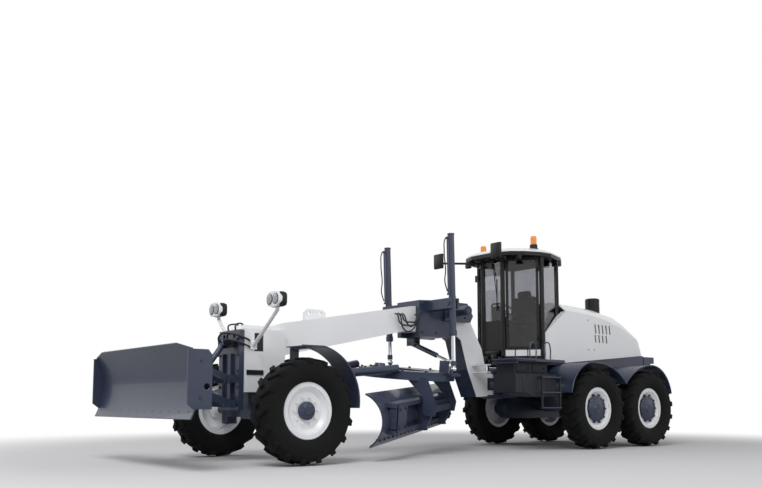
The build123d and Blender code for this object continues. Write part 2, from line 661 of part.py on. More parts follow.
# ---- rear frame ------------------------------------------------------------------------------
fork_thickness = 35
rail_inner_x = 250
rail_outer_x = 320
rail_z = (980, 1280)
deck_half_width = 590
deck_thickness = 40
with BuildPart() as chassis:
    for side in (-1, 1):
        block(side * rail_inner_x, side * rail_outer_x, 4450, 7700, *rail_z)
        block(side * rail_inner_x, side * rail_outer_x, 4600, 5430, rail_z[1], deck_z)
        # ears of the hinge's steering cylinders
        x, y = steer_root
        for z in (steer_z - 65, steer_z + 45):
            block(side * rail_outer_x, side * (x + 40), y - 50, y + 50, z, z + 20)
        bar((side * x, y, steer_z - 65), (side * x, y, steer_z + 65), steer_pin_radius)
        block(side * 400, side * deck_half_width, 5430, 7700, deck_z - deck_thickness, deck_z)
        # sill that carries the hood
        side_plate([(hood_front_y, deck_z - 5), (hood_rear_y - 20, deck_z - 5),
                    (hood_rear_y - 20, hood_rear_bottom_z - seat_gap - 2), (hood_front_y, deck_z - 1)],
                   side * 440, side * 560)
    # fork plates and pin of the articulation hinge
    for z in tongues:
        for low in (z - 5 - fork_thickness, z + tongue_thickness + 5):
            block(-150, 150, hinge_y, 4480, low, low + fork_thickness)
            bar((0, hinge_y, low), (0, hinge_y, low + fork_thickness), 110)
    bar((0, hinge_y, tongues[0] - 60), (0, hinge_y, tongues[1] + tongue_thickness + 60), hinge_pin_radius)
    block(-rail_outer_x, rail_outer_x, 4440, 4560, 800, rail_z[1])
    for y in (5300, 6500):
        block(-rail_outer_x, rail_outer_x, y, y + 200, rail_z[0], rail_z[0] + 200)
    for y in (5430, 7560):
        block(-deck_half_width, deck_half_width, y, y + 70, rail_z[1] - 60, deck_z)
    block(-deck_half_width, deck_half_width, 4600, 5430, deck_z - deck_thickness, deck_z)
    flat_plate([(-1120, 4600), (-1120, 4780), (-deck_half_width, 4780), (deck_half_width, 4780), (1120, 4780),
                (1120, 3700), (640, 3700), (640, 4600)], deck_z - deck_thickness, deck_z)
    # counterweight and rear deck
    block(-550, 550, 7740, 7950, 800, 1440)
    block(-rail_outer_x, rail_outer_x, 7600, 7760, rail_z[0], 1440)
    block(-550, 550, 7740, 8060, 1440, 1555)
save(chassis, "chassis")

with BuildPart() as engine:
    block(-300, 300, 5750, 6950, rail_z[1] + seat_gap, 2020)
save(engine, "engine")

hub_length = hub_face_x - seat_gap
with BuildPart() as rear_axle:
    bar((-600, wheelbase, tyre_radius + 100), (600, wheelbase, tyre_radius + 100), 150)
    block(-320, 320, wheelbase - 230, wheelbase + 230, tyre_radius - 60,
          rail_z[0] - seat_gap)
    for side in (-1, 1):
        block(side * 600, side * 840, tandem_front, tandem_rear, tyre_radius - 180, tyre_radius + 180)
        for y in (tandem_front, tandem_rear):
            bar((side * 600, y, tyre_radius), (side * 840, y, tyre_radius), 180)
            bar((side * 840, y, tyre_radius), (side * hub_length, y, tyre_radius), 110)
save(rear_axle, "rear_axle")

# (y, z) of the rear fender's sheet, front to rear; every second point is the middle of an arc
fender_arcs = [(4840, 885), (4975, 1175), (5505, 1356), (5930, 1270), (6250, 1045),
               (6560, 1265), (6950, 1356), (7420, 1170), (7560, 885)]
rear_fender_x = (deck_half_width + seat_gap, 1200)
with BuildPart() as rear_fenders:
    for side in (-1, 1):
        with BuildSketch(Plane.YZ.offset(min(side * rear_fender_x[0], side * rear_fender_x[1]))) as arches:
            with BuildLine() as sheet:
                for first, middle, last in zip(fender_arcs[0::2], fender_arcs[1::2], fender_arcs[2::2]):
                    ThreePointArc(*[(back(y), z) for y, z in (first, middle, last)])
                offset(amount=fender_sheet, side=Side.RIGHT)
            make_face()
        extrude(arches.sketch, amount=rear_fender_x[1] - rear_fender_x[0])
save(rear_fenders, "rear_fenders")

# ---- hood, exhaust and side boxes ------------------------------------------------------------
hood_wall = 14
hood_front_x = 640
exhaust_y = 7000


# the hood's sections: distance, half width, height of its shoulder, of its roof at 490 mm and at
# 300 mm from the middle
hood_sections = [
    (5440, 640, 2240, 2346, 2400),
    (6050, 612, 2215, 2320, 2385),
    (6600, 586, 2150, 2252, 2345),
    (7180, 540, 2010, 2110, 2250),
    (7630, 515, 1820, 1875, 2020),
    (7720, 512, 1600, 1640, 1680),
]
cheek_front_y = 4835
cheek_top = (1835, 2240)      # the cheeks' slanted edge, front and rear
slot_rows = ((1905, 2060, 5), (1750, 1880, 4))    # bottom, top and count of the cooling slots
slot_width = 42
slot_pitch = 108
slot_front_y = 6235
slot_slant = 26


def hood_block(wall):
    """The hood's solid, taken in by a wall's thickness, running out of its open bottom and front."""
    run_out = 60 if wall else 0
    with BuildPart() as solid:
        for y, half, shoulder, edge, crown in hood_sections:
            if y == hood_front_y:
                place = y - run_out
            else:
                place = min(y, hood_rear_y - wall)
            half -= wall
            rise = (y - hood_front_y) / (hood_rear_y - hood_front_y)
            low = deck_z + seat_gap + rise * (hood_rear_bottom_z - deck_z) - 2 * run_out
            with BuildSketch(Plane.XZ.offset(-back(place))):
                with BuildLine():
                    Polyline((-half, low), (-half, shoulder - wall), (-490, edge - wall), (-300, crown - wall),
                             (300, crown - wall), (490, edge - wall), (half, shoulder - wall), (half, low),
                             close=True)
                make_face()
        loft(ruled=True)
    return solid.part


with BuildPart() as hood:
    add(hood_block(0))
    add(hood_block(hood_wall), mode=Mode.SUBTRACT)
    for bottom, top, count in slot_rows:
        for number in range(count):
            y = slot_front_y + number * slot_pitch
            lean = slot_slant * (top - bottom) / 160
            side_plate([(y, top), (y + slot_width, top), (y + slot_width + lean, bottom), (y + lean, bottom)],
                       -hood_front_x - 20, hood_front_x + 20, Mode.SUBTRACT)
    # cheeks beside the cab's rear windows
    for side in (-1, 1):
        with BuildPart(mode=Mode.PRIVATE) as cheek:
            flat_plate([(side * 702, cheek_front_y), (side * hood_front_x, hood_front_y),
                        (side * (hood_front_x - hood_wall), hood_front_y + 20), (side * 534, hood_front_y + 5),
                        (side * 534, 5320), (side * 686, cheek_front_y)], deck_z + seat_gap, 2400)
            side_plate([(cheek_front_y - 1, deck_z - 1), (hood_front_y + 21, deck_z - 1),
                        (hood_front_y + 21, cheek_top[1]), (cheek_front_y - 1, cheek_top[0])],
                       side * 500, side * 720, Mode.INTERSECT)
        add(cheek.part)
save(hood, "hood")

with BuildPart() as exhaust_cap:
    bar((0, exhaust_y, 2200), (0, exhaust_y, 2617), 128)
    fillet(exhaust_cap.edges().group_by(Axis.Z)[-1], 28)
    add(hood_block(0).moved(Location((0, 0, seat_gap))), mode=Mode.SUBTRACT)
save(exhaust_cap, "exhaust_cap")

ladder = (4150, 4560)         # its two stiles
stile = 24
tank_top_z = deck_z - deck_thickness - seat_gap
with BuildPart() as side_tanks:
    side_plate([(3650, 1150), (3650, 880), (3900, 880), (4060, 820), (4560, 820), (4560, 1150)], 690, 1120)
    block(640, 1000, 3760, 4500, 1150, tank_top_z)
    block(-1120, -640, 4600, 4900, 1120, tank_top_z)
    for y in ladder:
        block(1168, 1168 + stile, y, y + stile, 640, 1130)
        block(1110, 1180, y, y + stile, 1090, 1090 + stile)
    for z in (640, 868, 1096):
        block(1168, 1168 + stile, ladder[0], ladder[1] + stile, z, z + stile)
save(side_tanks, "side_tanks")

# ---- cab -------------------------------------------------------------------------------------
cab_outline = both_sides([(a_pillar_x, a_pillar_y), (b_pillar_x, b_pillar_y), (c_pillar_x, c_pillar_y)])
roof_outline = both_sides([(250, 4150), (500, 4270), (640, 4450), (740, 4700), (750, 4950), (570, 5420),
                           (400, 5480)])
roof_rim = 60                 # black underside below the white roof
pillars = [(a_pillar_x, a_pillar_y), (b_pillar_x, b_pillar_y), (c_pillar_x, c_pillar_y)]
front_pane_z = 2050

with BuildPart() as cab_roof:
    flat_plate(roof_outline, cab_top_z + roof_rim + seat_gap, cab_top_z + 130)
    chamfer(cab_roof.edges().group_by(Axis.Z)[-1], 50, 110)
save(cab_roof, "cab_roof")


def pane(start, end, z0, z1, inset, thickness=8, mode=Mode.ADD):
    """Upright pane between two plan points, kept clear of the pillars at both."""
    line = Vector(end[0] - start[0], end[1] - start[1], 0)
    step = line.normalized()
    normal = Vector(-step.Y, step.X, 0) * (thickness / 2)
    first = Vector(start[0], start[1], 0) + step * inset
    last = Vector(end[0], end[1], 0) - step * inset
    corners = [first + normal, last + normal, last - normal, first - normal]
    flat_plate([(c.X, c.Y) for c in corners], z0, z1, mode)


pane_inset = pillar_radius + seat_gap
with BuildPart() as cab_glass:
    pane((-a_pillar_x, a_pillar_y), (a_pillar_x, a_pillar_y), front_pane_z + seat_gap, cab_top_z - seat_gap, pane_inset)
    pane((-c_pillar_x, c_pillar_y), (c_pillar_x, c_pillar_y), cab_glass_z + seat_gap, cab_top_z - seat_gap,
         pane_inset)
    for side in (-1, 1):
        pane((side * b_pillar_x, b_pillar_y), (side * c_pillar_x, c_pillar_y), cab_glass_z + seat_gap,
             cab_top_z - seat_gap, pane_inset)
save(cab_glass, "cab_glass")

door_gap = 8
door_thickness = 36
door_frame_width = 45
door_pin_radius = 9
door_hinges = (1720, 2820)    # undersides of the door's two hinge knuckles
door_knuckle = 70
door_run = Vector(b_pillar_x - a_pillar_x, b_pillar_y - a_pillar_y, 0).normalized()


def hinge_point(side, outward, forward=0):
    """Point beside the rear door pillar: outward is square to the door, forward is along it."""
    x = b_pillar_x + door_run.Y * outward - door_run.X * forward
    y = b_pillar_y - door_run.X * outward - door_run.Y * forward
    return (side * x, y)


hinge_out = pillar_radius + 20
with BuildPart() as door_hinge_pins:
    for side in (-1, 1):
        x, y = hinge_point(side, hinge_out)
        near_x, near_y = hinge_point(side, pillar_radius - 4)
        for z in door_hinges:
            bar((x, y, z - 20), (x, y, z + door_knuckle + 20), door_pin_radius)
            for low in (z - 20, z + door_knuckle + 2):
                bar((x, y, low), (x, y, low + 18), 17)
                bar((near_x, near_y, low + 9), (x, y, low + 9), 9)

for place, side in (("left", 1), ("right", -1)):
    start = (side * a_pillar_x, a_pillar_y)
    end = (side * b_pillar_x, b_pillar_y)
    bottom = cab_glass_z + door_gap
    top = cab_top_z - door_gap
    edge = pillar_radius + door_gap
    with BuildPart() as door:
        pane(start, end, bottom, top, edge, door_thickness)
        pane(start, end, bottom + door_frame_width, top - door_frame_width, edge + door_frame_width,
             door_thickness + 20, Mode.SUBTRACT)
        x, y = hinge_point(side, hinge_out)
        leaf_x, leaf_y = hinge_point(side, hinge_out - 24, 80)
        for z in door_hinges:
            bar((x, y, z), (x, y, z + door_knuckle), 17)
            flat_plate([hinge_point(side, hinge_out + 6, 6), hinge_point(side, hinge_out - 6, 0),
                        hinge_point(side, door_thickness / 2 - 3, edge + 6),
                        hinge_point(side, door_thickness / 2 - 3, edge + 36),
                        hinge_point(side, door_thickness / 2 + 10, edge + 36)], z, z + door_knuckle)
            bar((x, y, z), (x, y, z + door_knuckle), door_pin_radius + pin_clearance, Mode.SUBTRACT)
    save(door, f"door_{place}")
    with BuildPart() as door_glass:
        pane(start, end, bottom + door_frame_width + seat_gap, top - door_frame_width - seat_gap,
             edge + door_frame_width + seat_gap, 8)
    save(door_glass, f"door_glass_{place}")

with BuildPart() as cab_frame:
    flat_plate(cab_outline, deck_z + seat_gap, cab_glass_z)
    flat_plate(roof_outline, cab_top_z, cab_top_z + roof_rim)
    for x, y in pillars:
        for side in (-1, 1):
            bar((side * x, y, cab_floor_z), (side * x, y, cab_top_z + 5), pillar_radius)
    # opaque panel below the front pane
    block(-a_pillar_x, a_pillar_x, a_pillar_y - 12, a_pillar_y + 12, cab_glass_z, front_pane_z)
    add(door_hinge_pins.part)
save(cab_frame, "cab_frame")

with BuildPart() as seat:
    block(-240, 240, 4720, 5180, cab_glass_z + 300, cab_glass_z + 420)
    block(-230, 230, 5100, 5220, cab_glass_z + 400, cab_glass_z + 1020)
    block(-150, 150, 4800, 5100, cab_glass_z + seat_gap, cab_glass_z + 300)
save(seat, "seat")

with BuildPart() as steering_console:
    block(-110, 110, 4480, 4600, cab_glass_z + seat_gap, cab_glass_z + 560)
    bar((0, 4540, cab_glass_z + 540), (0, 4603, cab_glass_z + 690), 25)
    with Locations(Plane(origin=(0, back(4605), cab_glass_z + 690), z_dir=(0, 60, 130))):
        Torus(180, 14)
        Box(360, 30, 14)
save(steering_console, "steering_console")

# ---- beacons, work lights and mirrors --------------------------------------------------------
with BuildPart() as beacons:
    for side in (-1, 1):
        bar((side * 560, 4756, cab_top_z + 130 + seat_gap), (side * 560, 4756, 3262), 60)
        with BuildPart(mode=Mode.PRIVATE) as dome:
            bar((side * 560, 4756, 3255), (side * 560, 4756, 3410), 50)
            fillet(dome.edges().group_by(Axis.Z)[-1], 30)
        add(dome.part)
save(beacons, "beacons")

with BuildPart() as work_lights:
    for side in (-1, 1):
        block(side * 590, side * 710, 5160, 5260, cab_top_z - 110, cab_top_z - seat_gap)
save(work_lights, "work_lights")

mirror_arm = Vector(0.592, -0.806, 0)
rail_out = 90                 # grab rail in front of the door pillar


def on_arm(side, distance, z):
    """Point on the mirror's arm, counted from the front door pillar's middle."""
    return (side * (a_pillar_x + mirror_arm.X * distance), a_pillar_y + mirror_arm.Y * distance, z)


mirror_z = 3020
with BuildPart() as mirrors:
    for side in (-1, 1):
        bar(on_arm(side, pillar_radius + seat_gap, mirror_z), on_arm(side, 735, mirror_z), 18)
        block(side * 550, side * 740, 3770, 3805, 2930, 3170)
        bar(on_arm(side, rail_out, cab_floor_z), on_arm(side, rail_out, mirror_z), 12)
        bar(on_arm(side, pillar_radius + seat_gap, cab_floor_z + 30), on_arm(side, rail_out + 4, cab_floor_z + 30), 12)
save(mirrors, "mirrors")

# ---- steering cylinders of the articulation hinge --------------------------------------------
steer_barrel = 640
for place, side in (("left", 1), ("right", -1)):
    root = Vector(side * steer_root[0], steer_root[1], steer_z)
    eye = Vector(side * steer_eye[0], steer_eye[1], steer_z)
    run = (eye - root).normalized()
    length = (eye - root).length


    def on_run(distance):
        """Point this far from the cylinder's root pin towards its rod's eye."""
        point = root + run * distance
        return (point.X, point.Y, point.Z)


    with BuildPart() as barrel:
        bar(on_run(20), on_run(steer_barrel), 40)
        bar((root.X, root.Y, steer_z - 43), (root.X, root.Y, steer_z + 43), 44)
        bar((root.X, root.Y, steer_z - 50), (root.X, root.Y, steer_z + 50), steer_pin_radius + pin_clearance,
            Mode.SUBTRACT)
        bar(on_run(90), on_run(steer_barrel + 10), 24 + pin_clearance, Mode.SUBTRACT)
    save(barrel, f"hinge_barrel_{place}")
    with BuildPart() as rod:
        bar(on_run(330), on_run(length - 10), 24)
        bar((eye.X, eye.Y, steer_z - 43), (eye.X, eye.Y, steer_z + 43), 42)
    save(rod, f"hinge_rod_{place}")

# ---- hoses held by the front frame all the way -----------------------------------------------
hose_radius = 11


def hose(points):
    """Hose along a route of (x, y, z) points, with its corners rounded."""
    with BuildLine() as route:
        FilletPolyline(*[(x, back(y), z) for x, y, z in points], radius=45)
    with BuildSketch(route.line ^ 0) as section:
        Circle(hose_radius)
    sweep(section.sketch, path=route.line)


beam_side = beam_half_width + seat_gap
with BuildPart() as hoses:
    for side in (-1, 1):
        # loop over the top of the hitch plate
        hose([(side * 60, -250, 1700 + seat_gap), (side * 60, -250, 1790), (side * 90, -375, 1790),
              (side * 90, -375, 1630 + seat_gap)])
        # two loops hanging on the beam's side in front of the saddle
        for drop, start, end in ((1890, 2200, 2530), (1840, 2120, 2555 - 60)):
            hose([(side * beam_side, start, 2000), (side * (beam_side + 60), start, 2000),
                  (side * (beam_side + 60), start + 40, drop), (side * (beam_side + 60), end - 40, drop),
                  (side * (beam_side + 60), end, 2010), (side * beam_side, end, 2010)])
save(hoses, "hoses")
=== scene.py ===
import json
from math import cos, pi, radians, sin

import bmesh
import bpy
from mathutils import Matrix, Vector


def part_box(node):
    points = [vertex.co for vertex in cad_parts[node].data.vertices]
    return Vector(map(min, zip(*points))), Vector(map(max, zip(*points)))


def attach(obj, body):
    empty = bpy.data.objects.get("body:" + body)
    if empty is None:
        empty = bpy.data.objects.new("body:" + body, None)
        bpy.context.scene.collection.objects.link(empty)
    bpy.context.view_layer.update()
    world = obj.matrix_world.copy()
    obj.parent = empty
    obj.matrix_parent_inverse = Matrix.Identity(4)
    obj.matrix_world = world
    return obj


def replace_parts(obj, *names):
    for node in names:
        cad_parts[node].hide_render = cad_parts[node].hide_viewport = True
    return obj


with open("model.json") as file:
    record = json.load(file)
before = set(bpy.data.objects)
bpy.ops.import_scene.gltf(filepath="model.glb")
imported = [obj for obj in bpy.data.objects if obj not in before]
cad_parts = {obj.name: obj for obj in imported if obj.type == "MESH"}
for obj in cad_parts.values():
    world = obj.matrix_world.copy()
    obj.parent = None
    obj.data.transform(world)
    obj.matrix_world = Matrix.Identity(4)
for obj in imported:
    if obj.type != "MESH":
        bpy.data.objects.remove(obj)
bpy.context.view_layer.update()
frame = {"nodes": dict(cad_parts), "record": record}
nodes = frame["nodes"]

# ---- materials -------------------------------------------------------------------------------
def colour(code):
    """Linear RGBA of an sRGB hex colour."""
    parts = [int(code[i:i + 2], 16) / 255 for i in (0, 2, 4)]
    return (*[p / 12.92 if p <= 0.04045 else ((p + 0.055) / 1.055) ** 2.4 for p in parts], 1)


def add_node(tree, kind, settings=None, links=None):
    """One shader node with its settings and links: a link's key is the input, its value an output."""
    node = tree.nodes.new(kind)
    for key, value in (settings or {}).items():
        if hasattr(node, key) and key not in node.inputs:
            setattr(node, key, value)
        else:
            node.inputs[key].default_value = value
    for key, value in (links or {}).items():
        tree.links.new(value, node.inputs[key])
    return node


dirt_scale = 2.2      # clouds of dirt about 450 mm across
grain_scale = 400.0   # grain of 2.5 mm, coarser than the real one so that it shows
grain_height = 0.001


def make_material(name, code, roughness, metallic=0.0, coat=0.0, dirt=0.0, grain=0.0, shine=0.5):
    """Principled material; dirt is how far its colour varies, grain how strong its fine bump is."""
    material = bpy.data.materials.new(name)
    material.use_nodes = True
    tree = material.node_tree
    shader = tree.nodes["Principled BSDF"]
    shader.inputs["Base Color"].default_value = colour(code)
    shader.inputs["Roughness"].default_value = roughness
    shader.inputs["Metallic"].default_value = metallic
    shader.inputs["Coat Weight"].default_value = coat
    shader.inputs["Specular IOR Level"].default_value = shine
    where = add_node(tree, "ShaderNodeTexCoord")
    if dirt:
        clouds = add_node(tree, "ShaderNodeTexNoise", {"Scale": dirt_scale, "Detail": 6.0, "Roughness": 0.6},
                          {"Vector": where.outputs["Object"]})
        base = colour(code)
        ramp = add_node(tree, "ShaderNodeValToRGB", {}, {"Fac": clouds.outputs["Fac"]})
        ramp.color_ramp.elements[0].position = 0.35
        ramp.color_ramp.elements[0].color = (*[c * (1 - dirt) for c in base[:3]], 1)
        ramp.color_ramp.elements[1].position = 0.65
        ramp.color_ramp.elements[1].color = (*[min(1, c * (1 + dirt * 0.4)) for c in base[:3]], 1)
        tree.links.new(ramp.outputs["Color"], shader.inputs["Base Color"])
    if grain:
        speckle = add_node(tree, "ShaderNodeTexNoise", {"Scale": grain_scale, "Detail": 2.0},
                           {"Vector": where.outputs["Object"]})
        bump = add_node(tree, "ShaderNodeBump", {"Strength": grain, "Distance": grain_height},
                        {"Height": speckle.outputs["Fac"]})
        tree.links.new(bump.outputs["Normal"], shader.inputs["Normal"])
    return material


def tinted_glass(name, code):
    """Float glass, tinted through: clear to look through, with a mirror sheen at a low angle."""
    material = bpy.data.materials.new(name)
    material.use_nodes = True
    shader = material.node_tree.nodes["Principled BSDF"]
    shader.inputs["Base Color"].default_value = colour(code)
    shader.inputs["Roughness"].default_value = 0.02
    shader.inputs["IOR"].default_value = 1.45
    shader.inputs["Transmission Weight"].default_value = 1.0
    return material


materials = {
    # carbon-black rubber out of a mould: matte, a little brown dust in the pores
    "tyre": make_material("moulded_tyre_rubber", "0e0f10", 0.92, dirt=0.3, grain=0.35, shine=0.25),
    # alkyd enamel sprayed on welded plate: satin, cloudy sheen
    "blue": make_material("slate_enamel_on_steel_plate", "323a4f", 0.36, coat=0.20, dirt=0.10, shine=0.35),
    # two-coat enamel on pressed sheet: smooth and half gloss
    "white": make_material("white_enamel_on_sheet_steel", "e9eaed", 0.34, coat=0.35, dirt=0.02),
    # stove enamel on tube and sheet: dark satin
    "black": make_material("black_stove_enamel", "0d0e10", 0.42, dirt=0.1, shine=0.3),
    # hard chrome, ground and polished: a clear mirror
    "chrome": make_material("hard_chrome_piston_rod", "c8cace", 0.14, metallic=1.0),
    # bare steel, worn bright by soil
    "steel": make_material("soil_polished_steel", "8a8d92", 0.38, metallic=1.0, dirt=0.15),
    # pressed clear lens over a reflector
    "lamp": make_material("clear_ribbed_lamp_lens", "8f959c", 0.10, coat=0.8),
    # dyed polycarbonate: saturated and glossy
    "amber": make_material("amber_polycarbonate", "f08a10", 0.18, coat=0.5),
    # woven seat cloth: matte
    "fabric": make_material("woven_seat_cloth", "121316", 0.9, grain=0.5),
    # moulded polypropylene with a leather grain
    "plastic": make_material("grained_black_polypropylene", "15161a", 0.6, grain=0.3),
    # sand-cast iron, left raw
    "castiron": make_material("raw_sand_cast_iron", "202123", 0.7, metallic=0.6, grain=0.4),
    # extruded hydraulic hose: dull black
    "hose": make_material("extruded_hose_rubber", "121316", 0.5),
    # laminated glass with a bronze layer: clear, the cab's inside dim behind it
    "glass": tinted_glass("bronze_tinted_safety_glass", "b2b3b7"),
}
tail_lens = make_material("red_polycarbonate", "9c1410", 0.2, coat=0.5)
# the blue of the tanks and boxes, darkened nearly to black and dull: painted shade for where they sit in the
# shadow under the decks
tank_painted_shade = make_material("blue_with_painted_shade_on_tanks", "1f222b", 0.55, dirt=0.15, shine=0.3)
slots = {entry["node"]: entry["material_slot"] for entry in frame["record"]["subparts"]}
for name, obj in nodes.items():
    obj.data.materials.clear()
    obj.data.materials.append(materials[slots[name]])
# the tanks take the blue darkened as painted shade
nodes["side_tanks"].data.materials[0] = tank_painted_shade

# ---- making pieces ---------------------------------------------------------------------------
front_axle_y = sum(corner.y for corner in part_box("tyre_front_left")) / 2
sides = (-1, 1)       # right and left
side_names = {-1: "right", 1: "left"}
crease_angle = radians(35)
merge_distance = 0.0001


def place(x, behind, z):
    """Point of the machine, its second number counted backwards from the front axle."""
    return Vector((x, front_axle_y + behind, z))


def finish_piece(name, shape, slot, body, smooth=True, material=None):
    """Turn a bmesh into a piece that rides on a body."""
    bmesh.ops.recalc_face_normals(shape, faces=shape.faces)
    mesh = bpy.data.meshes.new(name)
    shape.to_mesh(mesh)
    shape.free()
    for face in mesh.polygons:
        face.use_smooth = smooth
    if smooth:
        mesh.set_sharp_from_angle(angle=crease_angle)
    mesh.materials.append(material or materials[slot])
    piece = bpy.data.objects.new(name, mesh)
    bpy.context.scene.collection.objects.link(piece)
    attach(piece, body)
    return piece


def add_block(shape, low, high, rounding=0.0, turn=None):
    """Box between two corners, its edges rounded, turned by a matrix if one is given."""
    middle = (low + high) / 2
    sizes = [abs(b - a) for a, b in zip(low, high)]
    matrix = Matrix.Translation(middle) @ Matrix.Diagonal((*sizes, 1))
    made = bmesh.ops.create_cube(shape, size=1, matrix=matrix)["verts"]
    if rounding:
        edges = list({edge for vert in made for edge in vert.link_edges})
        faces = bmesh.ops.bevel(shape, geom=edges, offset=rounding, segments=2, profile=0.5,
                                affect="EDGES", material=-1)["faces"]
        made = list({vert for face in faces for vert in face.verts} | {v for v in made if v.is_valid})
    if turn is not None:
        bmesh.ops.transform(shape, matrix=turn, verts=made)
    return made


def add_rod(shape, start, end, radius, sides=20, tip=None):
    """Round rod between two points, or a cone where its tip has another radius."""
    run = end - start
    matrix = Matrix.Translation((start + end) / 2) @ run.to_track_quat("Z", "Y").to_matrix().to_4x4()
    return bmesh.ops.create_cone(shape, cap_ends=True, segments=sides, radius1=radius,
                                 radius2=radius if tip is None else tip, depth=run.length,
                                 matrix=matrix)["verts"]


def add_bolt(shape, foot, out, size=0.015):
    """Hexagon bolt head on a washer, standing on a surface."""
    out = out.normalized()
    add_rod(shape, foot - out * 0.004, foot + out * 0.003, size * 0.75, sides=12)
    add_rod(shape, foot, foot + out * size * 0.65, size * 0.55, sides=6)


def pipe_piece(name, points, radius, slot, body, soft=True):
    """Hose or pipe through points, made a mesh."""
    curve = bpy.data.curves.new(name, "CURVE")
    curve.dimensions = "3D"
    curve.bevel_depth = radius
    curve.bevel_resolution = 3
    curve.resolution_u = 8
    curve.use_fill_caps = True
    line = curve.splines.new("BEZIER" if soft else "POLY")
    if soft:
        line.bezier_points.add(len(points) - 1)
        for knot, point in zip(line.bezier_points, points):
            knot.co = point
            knot.handle_left_type = knot.handle_right_type = "AUTO"
    else:
        line.points.add(len(points) - 1)
        for knot, point in zip(line.points, points):
            knot.co = (*point, 1)
    holder = bpy.data.objects.new(name + "_line", curve)
    bpy.context.scene.collection.objects.link(holder)
    mesh = bpy.data.meshes.new_from_object(holder.evaluated_get(bpy.context.evaluated_depsgraph_get()))
    bpy.data.objects.remove(holder)
    shape = bmesh.new()
    shape.from_mesh(mesh)
    bmesh.ops.remove_doubles(shape, verts=shape.verts, dist=merge_distance)
    return finish_piece(name, shape, slot, body)


def thicken(shape, face, away):
    """Plate made from a face by pushing a copy of it along a vector."""
    moved = bmesh.ops.extrude_face_region(shape, geom=[face])["geom"]
    bmesh.ops.translate(shape, vec=away, verts=[v for v in moved if isinstance(v, bmesh.types.BMVert)])


def arc_centre(first, middle, last):
    """Middle of the circle through three (back, up) points."""
    (x1, z1), (x2, z2), (x3, z3) = first, middle, last
    turn = 2 * (x1 * (z2 - z3) + x2 * (z3 - z1) + x3 * (z1 - z2))
    a, b, c = x1 ** 2 + z1 ** 2, x2 ** 2 + z2 ** 2, x3 ** 2 + z3 ** 2
    return Vector(((a * (z2 - z3) + b * (z3 - z1) + c * (z1 - z2)) / turn,
                   (a * (x3 - x2) + b * (x1 - x3) + c * (x2 - x1)) / turn))


def arc_depth(height, low, middle, top):
    """How far back a curved blade's face is at a height: low, middle and top are (back, up) points."""
    centre = arc_centre(low, middle, top)
    radius = (Vector(low) - centre).length
    return centre.x + (radius ** 2 - (height - centre.y) ** 2) ** 0.5


def arc_points(first, middle, last, count):
    """Points along the arc through three (back, up) points."""
    centre = arc_centre(first, middle, last)
    start = Vector(first) - centre
    sweep = start.angle_signed(Vector(last) - centre)
    points = []
    for number in range(count + 1):
        spoke = start.copy()
        spoke.rotate(Matrix.Rotation(-sweep * number / count, 2))
        points.append(tuple(centre + spoke))
    return points


# ---- tyres and wheels ------------------------------------------------------------------------
tyre_radius = 0.635
tread_radius = tyre_radius - 0.036
lug_count = 17
lug_slant = radians(33)
half_lug = 0.029
foot_shift = 0.098    # the lugs' feet stand this far round from where their bars start
# (across, radius) of half the tyre's section, from the bead to the crown
tyre_section = [(0.1144, 0.3365), (0.128, 0.345), (0.152, 0.372), (0.170, 0.415), (0.1775, 0.455),
                (0.1790, 0.462), (0.1790, 0.470), (0.1775, 0.476), (0.1780, 0.500), (0.1770, 0.530),
                (0.1730, 0.552), (0.1620, 0.576), (0.1400, 0.592), (0.0800, 0.598), (0.0, tread_radius)]
bead = (0.1144, 0.3062)


def tyre_shape(side):
    """Carcass spun about its axle, with two rows of slanted lugs; side is 1 on the left."""
    shape = bmesh.new()
    section = [(-a, r) for a, r in tyre_section] + [(a, r) for a, r in reversed(tyre_section[:-1])]
    section = [(-bead[0], bead[1])] + section + [bead]
    ring = [shape.verts.new((a, 0, r)) for a, r in section]
    edges = [shape.edges.new(pair) for pair in zip(ring, ring[1:] + ring[:1])]
    bmesh.ops.spin(shape, geom=ring + edges, cent=(0, 0, 0), axis=(1, 0, 0), angle=2 * pi, steps=102,
                   use_merge=True)
    bmesh.ops.remove_doubles(shape, verts=shape.verts, dist=0.0002)
    for row in sides:
        for number in range(lug_count):
            turn = Matrix.Rotation(2 * pi * (number + (row + 1) / 4) / lug_count, 4, "X")
            lean = Matrix.Translation((row * 0.012, 0, 0)) @ Matrix.Rotation(row * side * lug_slant, 4, "Z")
            # the bar of the lug, lower towards the shoulder
            bar = add_block(shape, Vector((0 if row > 0 else -0.178, -half_lug, tread_radius - 0.02)),
                            Vector((0.178 if row > 0 else 0, half_lug, tyre_radius - 0.003)), 0.006)
            for vert in bar:
                drop = max(0.0, abs(vert.co.x) - 0.10) / 0.08
                vert.co.z -= 0.022 * drop ** 1.5
                vert.co.y *= 1 + 0.15 * drop
            bmesh.ops.transform(shape, matrix=turn @ lean, verts=bar)
            # the foot of the lug on the sidewall
            foot = add_block(shape, Vector((row * 0.148, -0.036, 0.548)),
                             Vector((row * 0.1795, 0.032, 0.606)), 0.006)
            for vert in foot:
                vert.co.y += side * foot_shift
                if vert.co.z > 0.58:
                    vert.co.x -= row * 0.006
            bmesh.ops.transform(shape, matrix=turn, verts=foot)
    return shape


